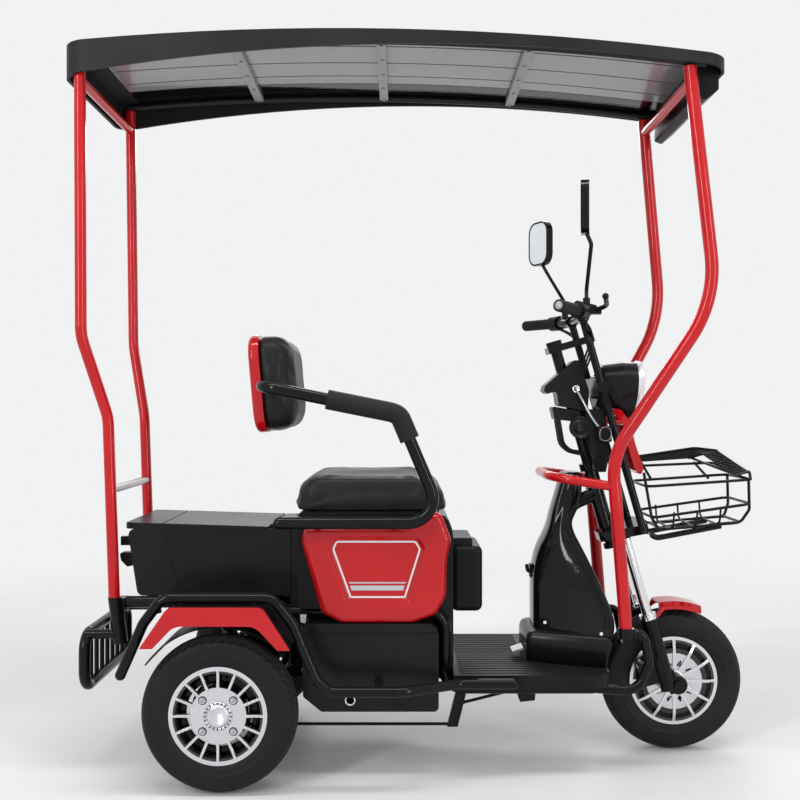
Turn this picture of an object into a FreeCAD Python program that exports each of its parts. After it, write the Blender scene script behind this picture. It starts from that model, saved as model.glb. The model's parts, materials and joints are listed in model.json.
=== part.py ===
import FreeCAD, Part
import math
import os

# Three-wheeled electric tricycle with a roof, in millimetres.
# +X is the way it drives, +Y its left side, +Z up. The origin is on the ground,
# below the middle of the whole vehicle.

V = FreeCAD.Vector

# Fits
SEAT_GAP = 0.3              # left between pieces that rest on each other
RUN_CLEARANCE = 0.05        # radial, between a shaft and the bore that turns on it
SWING_CLEARANCE = 6.0       # left between pieces that pass each other

# Wheels and tyres
TYRE_RADIUS = 185.0
TYRE_WIDTH = 80.0
BEAD_RADIUS = 108.0
BEAD_HALF_WIDTH = 31.0
RIM_WALL = 8.0
RIM_LIP = 4.0
RIM_LIP_HEIGHT = 7.5
REAR_AXLE_X = -472.0
FRONT_AXLE_X = 674.0
REAR_TRACK = 594.0
SPINDLE_RADIUS = 10.0
REAR_SPOKES = 16
REAR_DISC_RADIUS = 66.0
REAR_DISC_THICKNESS = 10.0
HUB_CAP_RADIUS = 32.0
WHEEL_BOLTS = 4
WHEEL_BOLT_CIRCLE = 51.0
DRUM_RADIUS = 74.0
FRONT_SPOKES = 12
FRONT_HUB_RADIUS = 34.0
DISC_RADIUS = 86.0
DISC_THICKNESS = 4.0
DISC_WINDOWS = 10

# Steering
RAKE = 16.0                 # degrees, top leaning back
STEERING_POINT = V(524, 0, 517)
CROWN_OFFSET = 28.0
FORK_HALF_SPACING = 70.0
SLIDER_RADIUS = 20.5
STANCHION_RADIUS = 13.0
STEM_RADIUS = 15.0
HEAD_TUBE_WALL = 5.0
HEAD_TUBE_BOTTOM = 72.0     # along the steering axis, from the steering point
HEAD_TUBE_TOP = 225.0
LOWER_CROWN_BOTTOM = 42.0
LOWER_CROWN_HEIGHT = 24.0
UPPER_CROWN_BOTTOM = 556.0
UPPER_CROWN_HEIGHT = 18.0
CARRIER_AHEAD = 76.0        # of the steering axis, for the two long tubes that carry bar, lamp and basket
CARRIER_HALF_SPACING = 80.0
CARRIER_RADIUS = 10.0
BAR_RADIUS = 11.0
GRIP_RADIUS = 15.0
GRIP_LENGTH = 122.0
BAR_X = 425.0
BAR_Z = 1138.0

# Frame, floor and body
RAIL_RADIUS = 15.0
RAIL_HALF_SPACING = 150.0
FLOOR_TOP = 249.0
FLOOR_THICKNESS = 34.0
FLOOR_FRONT = 475.0
FLOOR_REAR = 85.3
FLOOR_HALF_WIDTH = 218.0
SHIELD_WALL = 4.0
SIDE_RAIL_RADIUS = 12.5
SIDE_RAIL_HALF_SPACING = 314.0
BATTERY_FRONT = 48.0
BATTERY_REAR = -285.0
BATTERY_BOTTOM = 159.0
BATTERY_HALF_WIDTH = 215.0
PORT_RADIUS = 9.0
PORT_DEPTH = 22.0
PORT_X = -169.0
PORT_Z = 189.0
PEDESTAL_THICKNESS = 34.0
SEAT_BASE_TOP = 646.7
SEAT_BASE_HALF_WIDTH = 188.0
CUSHION_HEIGHT = 90.0
CUSHION_HALF_WIDTH = 197.0
PANEL_THICKNESS = 26.0
BED_RAIL_HEIGHT = 390.0
UPRIGHT_X = 66.0
RAIL_REAR_END = -735.0
RAIL_FRONT_END = 440.0
CROSS_RADIUS = 12.0
SHOCK_COILS = 7
BUMPER_X = -829.0
BUMPER_BOTTOM = 209.0
BUMPER_TOP = 340.0
SOCKET_RADIUS = 17.0
SOCKET_HALF_SPACING = 173.0

# Armrests and backrest
ARM_RADIUS = 15.0
ARM_HALF_SPACING = 262.0
ARM_PAD_RADIUS = 22.0
BACKREST_HALF_WIDTH = 155.0
BACKREST_BOTTOM = 842.0
BACKREST_TOP = 1092.0
ARM_LOW = 627.0
ARM_CORNER = (62.0, 627.0)
ARM_KNEE = (-50.0, 890.0)
ARM_BACK = (-384.0, 957.0)

# Cargo box
TUB_HALF_WIDTH = 148.0
TUB_WALL = 4.0
TUB_BOTTOM = 431.0
TUB_TOP = 599.0
TUB_REAR = -734.0
TUB_FRONT = -322.0
LID_HINGE_X = -372.5
LID_OVERHANG = 8.0
HINGE_Z = 604.0
HINGE_PIN = 2.5
KNUCKLE_RADIUS = 5.0
KNUCKLE_LENGTH = 24.0
HINGE_CENTRES = (-90.0, 90.0)
LID_TOP_FRONT = 605.0
LID_TOP_REAR = 616.0
BOX_SEAM = -644.0           # where the rear cap of the box ends
DECK_REAR = -366.5
LID_FRONT = -378.5

# Fenders
FENDER_OUTER = 340.0
FENDER_WALL = 4.0
FENDER_TOP = 441.0
TRIM_THICKNESS = 5.0

# Roof
ROOF_REAR = -868.0
ROOF_FRONT = 752.0
ROOF_HALF_WIDTH = 250.0
ROOF_CORNER = 55.0
ROOF_SKIRT = 7.0
ROOF_TOP_WALL = 12.0
REAR_POST_RADIUS = 14.0
FRONT_POST_RADIUS = 16.0
REAR_POST_FOOT = 432.0
FRONT_POST_FOOT = 351.0
ROOF_RAIL_HALF_SPACING = 226.0
ROOF_RAIL_RADIUS = 9.0
RIB_WIDTH = 24.0
RIB_PLACES = (-454.0, -93.0, 270.0)
ROOF_TOP_LINE = ((-868, 1790), (-47, 1820), (752, 1757))
ROOF_SKIRT_LINE = ((-868, 1709), (-47, 1785), (752, 1727))
REAR_POST_X = -829.0
FRONT_POST_X = 660.0
CROSS_BAR_HEIGHT = 699.0

# Front fender
FRONT_FENDER_HALF_WIDTH = 47.0
FRONT_FENDER_WALL = 3.5
FRONT_FENDER_GAP = 20.5

# Basket
BASKET_HALF_WIDTH = 94.0
BASKET_WIRE_RADIUS = 3.8
BASKET_SUPPORT_RADIUS = 7.5
BASKET_REAR = 590.0
BASKET_FRONT = 858.0
BASKET_BOTTOM = 588.0
BASKET_RIM = 701.0
BASKET_RISE = 18.0          # from the rear of the rim to its front
BASKET_FLARE = 56.0         # by which the raised left side stands outside the rim
BASKET_BAND_HEIGHT = 63.0

# Mirrors
MIRROR_HEIGHT = 128.0
MIRROR_WIDTH = 96.0
MIRROR_SPREAD = 262.0
MIRROR_LEVEL = 1385.0
MIRROR_FORWARD = {-1: 388.0, 1: 358.0}
MIRROR_YAW = {-1: 12.0, 1: 26.0}

# Headlight
LAMP_HEIGHT = 957.0
LAMP_RADIUS = 80.0
LAMP_DEPTH = 112.0
LENS_BULGE = 19.0
LAMP_RING = 16.0
LAMP_TILT = 6.0


def box(x0, x1, y0, y1, z0, z1):
    return Part.makeBox(x1 - x0, y1 - y0, z1 - z0, V(x0, y0, z0))


def rod(start, end, radius):
    start = V(*start)
    axis = V(*end) - start
    return Part.makeCylinder(radius, axis.Length, start, axis)


def path_wire(points, bend, closed=False):
    """Straight runs joined by tangent arcs. bend is one radius, or one for each corner."""
    points = [V(*p) for p in points]
    count = len(points)
    corners = range(count) if closed else range(1, count - 1)
    cuts = {}
    for place, i in enumerate(corners):
        corner = points[i]
        back = points[i - 1] - corner
        ahead = points[(i + 1) % count] - corner
        turn = math.pi - back.getAngle(ahead)
        wanted = bend[place] if isinstance(bend, (list, tuple)) else bend
        reach = min(wanted * math.tan(turn / 2), 0.47 * back.Length, 0.47 * ahead.Length)
        if reach < 0.01:
            continue
        radius = reach / math.tan(turn / 2)
        back.normalize()
        ahead.normalize()
        middle = back + ahead
        middle.normalize()
        depth = radius / math.cos(turn / 2) - radius
        cuts[i] = (corner + back * reach, corner + middle * depth, corner + ahead * reach)
    edges = []
    last = count if closed else count - 1
    for i in range(last):
        j = (i + 1) % count
        start = cuts[i][2] if i in cuts else points[i]
        end = cuts[j][0] if j in cuts else points[j]
        edges.append(Part.LineSegment(start, end).toShape())
        if j in cuts and (closed or j < count - 1):
            edges.append(Part.Arc(*cuts[j]).toShape())
    return Part.Wire(edges)


def tube(points, radius, bend):
    path = path_wire(points, bend)
    start = V(*points[0])
    ring = Part.Wire(Part.makeCircle(radius, start, V(*points[1]) - start))
    return path.makePipeShell([ring], True, False)


def hoop(points, radius, bend):
    """A closed ring of tube."""
    path = path_wire(points, bend, True)
    start = path.Edges[0].Vertexes[0].Point
    ring = Part.Wire(Part.makeCircle(radius, start, path.Edges[0].tangentAt(0)))
    return path.makePipeShell([ring], True, False)


def slab(points, corner, along):
    """A rounded flat outline, pushed along a vector."""
    return Part.Face(path_wire(points, corner, True)).extrude(V(*along))


def side_slab(points, corner, y0, y1):
    """An outline given as (x, z), between two places across the vehicle."""
    return slab([(x, y0, z) for x, z in points], corner, (0, y1 - y0, 0))


def plan_slab(points, corner, z0, z1):
    """An outline given as (x, y), between two heights."""
    return slab([(x, y, z0) for x, y in points], corner, (0, 0, z1 - z0))


def turned(profile, centre, axis=V(0, 1, 0)):
    """A closed profile of (distance along, radius) about an axis across the vehicle."""
    points = [V(centre.x, centre.y + y, centre.z + r) for y, r in profile]
    face = Part.Face(Part.makePolygon(points + [points[0]]))
    return face.revolve(centre, axis, 360)


def upright_turned(profile, x, y):
    """A closed profile of (radius, height) about an upright line."""
    face = Part.Face(Part.makePolygon([V(x + r, y, z) for r, z in profile + [profile[0]]]))
    return face.revolve(V(x, y, 0), V(0, 0, 1), 360)


def fuse(shapes):
    whole = shapes[0].multiFuse(shapes[1:]) if len(shapes) > 1 else shapes[0]
    return whole.removeSplitter()


def cut(shape, tools):
    for tool in tools:
        shape = shape.cut(tool)
    return shape


def above(shape, height):
    bounds = shape.BoundBox
    return shape.common(box(bounds.XMin - 9, bounds.XMax + 9, bounds.YMin - 9, bounds.YMax + 9,
                            height, bounds.ZMax + 9))


def below(shape, height):
    bounds = shape.BoundBox
    return shape.common(box(bounds.XMin - 9, bounds.XMax + 9, bounds.YMin - 9, bounds.YMax + 9,
                            bounds.ZMin - 9, height))


def steered(shape):
    """Moves a shape drawn about an upright steering axis at the origin to its real place."""
    shape = shape.copy()
    shape.rotate(V(0, 0, 0), V(0, 1, 0), -RAKE)
    shape.translate(STEERING_POINT)
    return shape


def steered_point(x, y, z):
    angle = math.radians(RAKE)
    along = V(x * math.cos(angle) - z * math.sin(angle), y, x * math.sin(angle) + z * math.cos(angle))
    return along + STEERING_POINT


def unsteered(x, z):
    """Where a place in the vehicle lies along and ahead of the steering axis."""
    angle = math.radians(RAKE)
    dx = x - STEERING_POINT.x
    dz = z - STEERING_POINT.z
    return dx * math.cos(angle) + dz * math.sin(angle), dz * math.cos(angle) - dx * math.sin(angle)


REAR_CENTRES = {"right": V(REAR_AXLE_X, -REAR_TRACK / 2, TYRE_RADIUS),
                "left": V(REAR_AXLE_X, REAR_TRACK / 2, TYRE_RADIUS)}
FRONT_CENTRE = V(FRONT_AXLE_X, 0, TYRE_RADIUS)
AXLE_AHEAD, AXLE_ALONG = unsteered(FRONT_AXLE_X, TYRE_RADIUS)
RIM_EDGE = BEAD_RADIUS + RIM_LIP_HEIGHT


def tyre(centre):
    """Tyre with a rounded tread, walls that bulge past the rim and a bead that sits in it."""
    inner = BEAD_RADIUS + SEAT_GAP
    bead = BEAD_HALF_WIDTH - SEAT_GAP
    half = TYRE_WIDTH / 2
    wall = TYRE_RADIUS - inner
    right = [(-bead, inner), (-bead, inner + 0.12 * wall), (-half, inner + 0.40 * wall),
             (-half, inner + 0.62 * wall), (-0.88 * half, inner + 0.83 * wall),
             (-0.5 * half, inner + 0.96 * wall), (-0.14 * half, TYRE_RADIUS)]
    return turned(right + [(-y, r) for y, r in right[::-1]], centre)


def rim_barrel(centre):
    half = BEAD_HALF_WIDTH
    lip = half + RIM_LIP
    inner = BEAD_RADIUS - RIM_WALL
    profile = [(-lip, inner), (lip, inner), (lip, RIM_EDGE), (half, RIM_EDGE),
               (half, BEAD_RADIUS), (-half, BEAD_RADIUS), (-half, RIM_EDGE), (-lip, RIM_EDGE)]
    return turned(profile, centre)


def spokes(centre, count, inner, outer, width, y0, y1):
    spoke = box(-width / 2, width / 2, y0, y1, inner, outer)
    shapes = []
    for i in range(count):
        copy = spoke.copy()
        copy.rotate(V(0, 0, 0), V(0, 1, 0), 360.0 * i / count)
        copy.translate(centre)
        shapes.append(copy)
    return shapes


def rear_rim(side):
    """Cast wheel with thin spokes about a bolted disc and a domed hub cap."""
    centre = REAR_CENTRES[side]
    out = 1 if side == "left" else -1
    near, far = 22.0, 22.0 + REAR_DISC_THICKNESS
    disc = turned([(near * out, 0), (far * out, 0), (far * out, REAR_DISC_RADIUS),
                   (near * out, REAR_DISC_RADIUS)], centre)
    dome_points = [(far * out - out, 0), (far * out - out, HUB_CAP_RADIUS), (35 * out, HUB_CAP_RADIUS - 3),
                   (39 * out, HUB_CAP_RADIUS - 14), (40 * out, 0)]
    dome = turned(dome_points, centre)
    ribs = spokes(centre, REAR_SPOKES, REAR_DISC_RADIUS - 4, BEAD_RADIUS - 4, 6.5,
                  min(24 * out, 33 * out), max(24 * out, 33 * out))
    bolts = []
    for i in range(WHEEL_BOLTS):
        angle = 2 * math.pi * (i + 0.5) / WHEEL_BOLTS
        place = centre + V(WHEEL_BOLT_CIRCLE * math.cos(angle), far * out - out,
                           WHEEL_BOLT_CIRCLE * math.sin(angle))
        bolts.append(Part.makeCylinder(7, 6, place, V(0, out, 0)))
    hub = turned([(14 * out, 0), (near * out + out, 0), (near * out + out, 26), (14 * out, 26)], centre)
    rim = fuse([rim_barrel(centre), disc, dome, hub] + ribs + bolts)
    start = centre + V(0, 13 * out, 0)
    return rim.cut(Part.makeCylinder(SPINDLE_RADIUS + RUN_CLEARANCE, 24, start, V(0, out, 0)))


def front_rim():
    """Cast wheel with broad spokes about a hub that turns on the front axle."""
    hub = turned([(-36, 0), (-36, 24), (-26, FRONT_HUB_RADIUS), (26, FRONT_HUB_RADIUS), (36, 24), (36, 0)],
                 FRONT_CENTRE)
    ribs = spokes(FRONT_CENTRE, FRONT_SPOKES, FRONT_HUB_RADIUS - 5, BEAD_RADIUS - 4, 9, -22, -8)
    rim = fuse([rim_barrel(FRONT_CENTRE), hub] + ribs)
    bore = Part.makeCylinder(SPINDLE_RADIUS + RUN_CLEARANCE, 100, FRONT_CENTRE - V(0, 50, 0), V(0, 1, 0))
    return rim.cut(bore)


def brake_disc():
    """Bright disc with windows, screwed to the right face of the front hub."""
    y0 = -36 - SEAT_GAP - DISC_THICKNESS
    inner = 14.0
    disc = turned([(y0, inner), (y0 + DISC_THICKNESS, inner), (y0 + DISC_THICKNESS, DISC_RADIUS),
                   (y0, DISC_RADIUS)], FRONT_CENTRE)
    window = slab([(-8, y0 - 1, 40), (8, y0 - 1, 40), (0, y0 - 1, 60)], 2, (0, DISC_THICKNESS + 2, 0))
    windows = []
    for i in range(DISC_WINDOWS):
        copy = window.copy()
        copy.rotate(V(0, 0, 0), V(0, 1, 0), 360.0 * (i + 0.5) / DISC_WINDOWS)
        copy.translate(FRONT_CENTRE)
        windows.append(copy)
    return disc.cut(Part.makeCompound(windows))


def fork_legs():
    """Black sliders, the axle clamps ahead of them, the axle and the brake caliper."""
    x = CROWN_OFFSET
    shapes = []
    for side in (-1, 1):
        y = FORK_HALF_SPACING * side
        leg = Part.makeCylinder(SLIDER_RADIUS, 190, V(x, y, AXLE_ALONG - 6))
        lug = Part.makeCylinder(24, 20, V(AXLE_AHEAD, y - 10, AXLE_ALONG), V(0, 1, 0))
        web = box(x, AXLE_AHEAD, y - 10, y + 10, AXLE_ALONG - 18, AXLE_ALONG + 40)
        cap = Part.makeCylinder(12, 8, V(AXLE_AHEAD, y + side * 10, AXLE_ALONG), V(0, side, 0))
        shapes += [leg, lug, web, cap]
    axle_end = V(AXLE_AHEAD, -FORK_HALF_SPACING, AXLE_ALONG)
    axle = Part.makeCylinder(SPINDLE_RADIUS, 2 * FORK_HALF_SPACING, axle_end, V(0, 1, 0))
    caliper = box(x - 62, x - 12, -FORK_HALF_SPACING - 6, -FORK_HALF_SPACING + 14, AXLE_ALONG + 18,
                  AXLE_ALONG + 78)
    return steered(fuse(shapes + [axle, caliper]))


def fork_tubes():
    """Bright stanchions between the lower crown and the sliders, with their dust rings."""
    shapes = []
    bottom = AXLE_ALONG - 6 + 190 + SEAT_GAP
    top = LOWER_CROWN_BOTTOM - SEAT_GAP
    for side in (-1, 1):
        place = V(CROWN_OFFSET, FORK_HALF_SPACING * side, bottom)
        shaft = Part.makeCylinder(STANCHION_RADIUS, top - bottom, place)
        rings = [Part.makeCylinder(SLIDER_RADIUS + 1, 5, place + V(0, 0, 8 * i)) for i in range(2)]
        core = Part.makeCylinder(SLIDER_RADIUS - 2, 14, place)
        shapes.append(fuse([shaft, core] + rings))
    return steered(Part.makeCompound(shapes))


def crown_plate(bottom, height, rear, front, half_width):
    points = [(rear, -34, bottom), (front - 18, -half_width, bottom), (front, -half_width + 14, bottom),
              (front, half_width - 14, bottom), (front - 18, half_width, bottom), (rear, 34, bottom)]
    return slab(points, 10, (0, 0, height))


def carrier_tubes(grow=0.0):
    """The two long tubes from the lower crown up to the handlebar."""
    top = unsteered(BAR_X, BAR_Z)[1] - BAR_RADIUS - SEAT_GAP
    feet = [V(CARRIER_AHEAD, CARRIER_HALF_SPACING * side, LOWER_CROWN_BOTTOM) for side in (-1, 1)]
    return [Part.makeCylinder(CARRIER_RADIUS + grow, top - LOWER_CROWN_BOTTOM, foot) for foot in feet]


def steering_stem():
    """The stem in the head tube, the two crowns and the carrier tubes between them."""
    half_width = FORK_HALF_SPACING + 22
    front = CARRIER_AHEAD + CARRIER_RADIUS + 6
    lower = crown_plate(LOWER_CROWN_BOTTOM, LOWER_CROWN_HEIGHT, -30, front, half_width)
    upper = crown_plate(UPPER_CROWN_BOTTOM, UPPER_CROWN_HEIGHT, -24, front, half_width + 4)
    low = LOWER_CROWN_BOTTOM - 18
    high = UPPER_CROWN_BOTTOM + UPPER_CROWN_HEIGHT + 10
    shapes = [lower, upper, Part.makeCylinder(STEM_RADIUS, high - low, V(0, 0, low)),
              Part.makeCylinder(STEM_RADIUS + 6, 12, V(0, 0, low - 8)),
              Part.makeCylinder(STEM_RADIUS + 6, 14, V(0, 0, high - 12)),
              Part.makeCylinder(STEM_RADIUS + 10, 20, V(0, 0, HEAD_TUBE_TOP + SWING_CLEARANCE))]
    return steered(fuse(shapes + carrier_tubes()))


BAR_POINTS = [(BAR_X, 0, BAR_Z), (BAR_X, 104, BAR_Z), (396, 190, BAR_Z + 6), (330, 300, BAR_Z + 8)]


def bar_path(side):
    return [(x, y * side, z) for x, y, z in BAR_POINTS]


def bar_tube(grow=0.0):
    return tube(bar_path(-1)[::-1][:-1] + bar_path(1)[1:], BAR_RADIUS + grow, 45)


def handlebar():
    """One bent bar, clamped on the tops of the two carrier tubes."""
    ahead, along = unsteered(BAR_X, BAR_Z)
    ends = [V(ahead, CARRIER_HALF_SPACING * side - 13, along) for side in (-1, 1)]
    clamps = [Part.makeCylinder(BAR_RADIUS + 5, 26, end, V(0, 1, 0)) for end in ends]
    whole = fuse([bar_tube()] + [steered(clamp) for clamp in clamps])
    return cut(whole, [steered(grown) for grown in carrier_tubes(SEAT_GAP)])


def grip_frame(side):
    inner = V(*bar_path(side)[2])
    outer = V(*bar_path(side)[3])
    return inner, outer, (outer - inner).normalize()


def grips():
    shapes = []
    for side in (-1, 1):
        inner, outer, along = grip_frame(side)
        start = outer - along * (GRIP_LENGTH - 6)
        body = Part.makeCylinder(GRIP_RADIUS, GRIP_LENGTH, start, along)
        body = body.makeFillet(4, body.Edges)
        bore = Part.makeCylinder(BAR_RADIUS + SEAT_GAP, GRIP_LENGTH - 6 + SEAT_GAP, start, along)
        shapes.append(body.cut(bore))
    return Part.makeCompound(shapes)


def hand_controls():
    """Switch boxes, lever brackets and brake levers beside the grips."""
    shapes = []
    for side in (-1, 1):
        inner, outer, along = grip_frame(side)
        start = outer - along * (GRIP_LENGTH - 6)
        body = Part.makeCylinder(GRIP_RADIUS + 6, 34, start - along * 36, along)
        clamp = Part.makeCylinder(GRIP_RADIUS + 1, 18, start - along * 58, along)
        pivot = start - along * 49 + V(26, 0, 4)
        bracket = box(pivot.x - 16, pivot.x + 16, pivot.y - 10, pivot.y + 10, pivot.z - 9, pivot.z + 9)
        tip = V(442, 285 * side, BAR_Z + 32)
        lever = tube([tuple(pivot), tuple(pivot + V(24, 34 * side, 10)), tuple(tip)], 6, 30)
        knob = Part.makeSphere(8, tip)
        perch = Part.makeCylinder(9, 26, start - along * 49 + V(6, 0, 10), V(0, 0, 1))
        whole = fuse([body, clamp, bracket, lever, knob, perch])
        shapes.append(whole.cut(bar_tube(SEAT_GAP)))
    return Part.makeCompound(shapes)


def perch_top(side):
    inner, outer, along = grip_frame(side)
    start = outer - along * (GRIP_LENGTH - 6)
    return start - along * 49 + V(6, 0, 36 + SEAT_GAP)


def mirror_body(side, x0, x1, shrink):
    half_w = MIRROR_WIDTH / 2 - shrink
    half_h = MIRROR_HEIGHT / 2 - shrink
    body = slab([(x0, -half_w, -half_h), (x0, half_w, -half_h), (x0, half_w, half_h), (x0, -half_w, half_h)],
                34 - shrink, (x1 - x0, 0, 0))
    body.rotate(V(0, 0, 0), V(0, 0, 1), MIRROR_YAW[side] * side)
    body.translate(V(MIRROR_FORWARD[side], MIRROR_SPREAD * side, MIRROR_LEVEL))
    return body


def mirrors():
    shapes = []
    for side in (-1, 1):
        shell = mirror_body(side, 0, 20, 0)
        recess = mirror_body(side, -1, 3, 5)
        x, y, z = MIRROR_FORWARD[side], MIRROR_SPREAD, MIRROR_LEVEL
        base = perch_top(side)
        foot = V(x + 12, y * side, z - MIRROR_HEIGHT / 2 + 6)
        stalk = tube([tuple(base + V(0, 0, SEAT_GAP)), tuple(base + V(0, 0, 20)),
                      (x + 26, (y - 6) * side, z - MIRROR_HEIGHT / 2 - 22), tuple(foot)], 5, 14)
        shapes.append(fuse([shell.cut(recess), stalk.cut(recess)]))
    return Part.makeCompound(shapes)


def mirror_glasses():
    return Part.makeCompound([mirror_body(side, 0.5, 2.7, 5 + SEAT_GAP) for side in (-1, 1)])


def carrier_at(height):
    """How far forward the carrier tubes stand at a height."""
    angle = math.radians(RAKE)
    along = (height - STEERING_POINT.z - CARRIER_AHEAD * math.sin(angle)) / math.cos(angle)
    return STEERING_POINT.x + CARRIER_AHEAD * math.cos(angle) - along * math.sin(angle)


def stem_at(height):
    """How far forward the steering axis stands at a height."""
    return STEERING_POINT.x - (height - STEERING_POINT.z) * math.tan(math.radians(RAKE))


LAMP_REAR = carrier_at(LAMP_HEIGHT) - 2.0
LAMP_FRONT = LAMP_REAR + LAMP_DEPTH


def lamp_turned(points):
    """A closed profile of (x, radius) about the axis of the headlight, which looks down a little."""
    face = Part.Face(Part.makePolygon([V(x, 0, LAMP_HEIGHT + r) for x, r in points + [points[0]]]))
    return lamp_tilted(face.revolve(V(0, 0, LAMP_HEIGHT), V(1, 0, 0), 360))


def lamp_tilted(shape):
    shape.rotate(V(LAMP_REAR, 0, LAMP_HEIGHT), V(0, 1, 0), LAMP_TILT)
    return shape


def headlight_shell():
    """Dark bowl of the headlight."""
    front = LAMP_FRONT - LAMP_RING - SEAT_GAP
    outside = [(LAMP_REAR, 52), (LAMP_REAR + 10, 64), (LAMP_REAR + 58, LAMP_RADIUS - 4),
               (front, LAMP_RADIUS - 1)]
    inside = [(front, LAMP_RADIUS - 9), (LAMP_REAR + 52, LAMP_RADIUS - 9), (LAMP_REAR + 16, 55),
              (LAMP_REAR + 8, 0)]
    return lamp_turned([(LAMP_REAR, 0)] + outside + inside)


def headlight_ring():
    """Bright ring around the mouth of the bowl, with a ledge for the lens."""
    rear = LAMP_FRONT - LAMP_RING
    return lamp_turned([(rear, LAMP_RADIUS - 9), (rear, LAMP_RADIUS + 1), (rear + 5, LAMP_RADIUS + 2),
                        (LAMP_FRONT - 3, LAMP_RADIUS + 2), (LAMP_FRONT, LAMP_RADIUS - 1),
                        (LAMP_FRONT, LAMP_RADIUS - 6), (LAMP_FRONT - 12, LAMP_RADIUS - 6),
                        (LAMP_FRONT - 12, LAMP_RADIUS - 9)])


def headlight_lens():
    """A shallow dome that sits in the ring of the headlight."""
    x = LAMP_FRONT - 12 + SEAT_GAP
    reach = LAMP_RADIUS - 6 - SEAT_GAP
    radius = (reach ** 2 + LENS_BULGE ** 2) / (2 * LENS_BULGE)
    ball = Part.makeSphere(radius, V(x + LENS_BULGE - radius, 0, LAMP_HEIGHT))
    barrel = rod((x, 0, LAMP_HEIGHT), (x + 2 * LENS_BULGE, 0, LAMP_HEIGHT), reach)
    return lamp_tilted(ball.common(barrel))


def lamp_bracket():
    """Two clamps on the carrier tubes with a plate between them, on which the headlight sits."""
    x = carrier_at(LAMP_HEIGHT)
    shapes = []
    for side in (-1, 1):
        y0, y1 = sorted(((CARRIER_HALF_SPACING - 8) * side, (CARRIER_HALF_SPACING + 15) * side))
        shapes.append(box(x - 16, x + 16, y0, y1, LAMP_HEIGHT - 12, LAMP_HEIGHT + 12))
    back = LAMP_REAR - SEAT_GAP
    half = CARRIER_HALF_SPACING - 2
    plate = box(back - 14, back - 5, -half, half, LAMP_HEIGHT - 24, LAMP_HEIGHT + 24)
    foot = lamp_turned([(back - 12, 0), (back, 0), (back, 30), (back - 12, 30)])
    return cut(fuse(shapes + [plate, foot]), [steered(grown) for grown in carrier_tubes(SEAT_GAP)])


def column_cover():
    """Dark three-sided cover on the stem, with a switch box and two conduits below it."""
    x = stem_at(LAMP_HEIGHT)
    z = LAMP_HEIGHT
    sides = [(x + 28, z + 72), (x + 14, z + 72), (x - 62, z + 5), (x - 66, z - 9), (x - 56, z - 17),
             (x - 32, z - 9), (x - 26, z - 48), (x + 50, z - 62), (x + 54, z - 9)]
    cover = side_slab(sides, [4, 8, 8, 5, 5, 8, 4, 6, 30], -34, 34)
    switch_box = side_slab([(x - 44, z - 49), (x + 32, z - 62), (x + 36, z - 92), (x - 36, z - 84)],
                           6, -26, 26)
    shapes = [cover, switch_box]
    for y in (-17, 17):
        run = [(x - 26, y, z - 78), (x - 14, y, z - 150), (x + 6, y / 2, z - 168), (x + 46, y / 2, z - 176)]
        shapes.append(tube(run, 6.5, 30))
    stem = steered(Part.makeCylinder(STEM_RADIUS + SEAT_GAP, 600, V(0, 0, 0)))
    return fuse(shapes).cut(stem)


def display():
    """Instrument pod above the bar."""
    outline = [(404, 1160), (412, 1186), (470, 1172), (470, 1152)]
    pod = side_slab(outline, 8, -52, 52)
    foot = side_slab([(416, 1136), (446, 1136), (446, 1166), (424, 1166)], 2, -14, 14)
    return fuse([pod, foot]).cut(bar_tube(SEAT_GAP))


def front_cowl():
    """Red blade in front of the column, below the headlight, on a stay from each carrier tube."""
    x, z = LAMP_REAR, LAMP_HEIGHT
    outer = [(x + 23, z - 52), (x + 55, z - 59), (x + 77, z - 91), (x + 91, z - 147), (x + 113, z - 212),
             (x + 105, z - 229), (x + 91, z - 217), (x + 73, z - 157), (x + 59, z - 99), (x + 41, z - 75),
             (x + 23, z - 65)]
    hollow = lamp_turned([(x - 2, 0), (x - 2, 56), (x + 9, 68), (x + 58, LAMP_RADIUS + 3),
                          (LAMP_FRONT + 40, LAMP_RADIUS + 6), (LAMP_FRONT + 40, 0)])
    shapes = [side_slab(outer, 5, -66, 66)]
    for side in (-1, 1):
        y = CARRIER_HALF_SPACING * side
        shapes.append(rod((x + 53, y - 20 * side, z - 89), (carrier_at(z - 89), y, z - 89), 5))
    return cut(fuse(shapes), [hollow] + [steered(grown) for grown in carrier_tubes(SEAT_GAP)])


def basket_ring(x0, x1, half, z0, rise):
    points = [(x0, -half, z0), (x1, -half, z0 + rise), (x1, half, z0 + rise), (x0, half, z0)]
    return hoop(points, BASKET_WIRE_RADIUS, 22)


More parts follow.
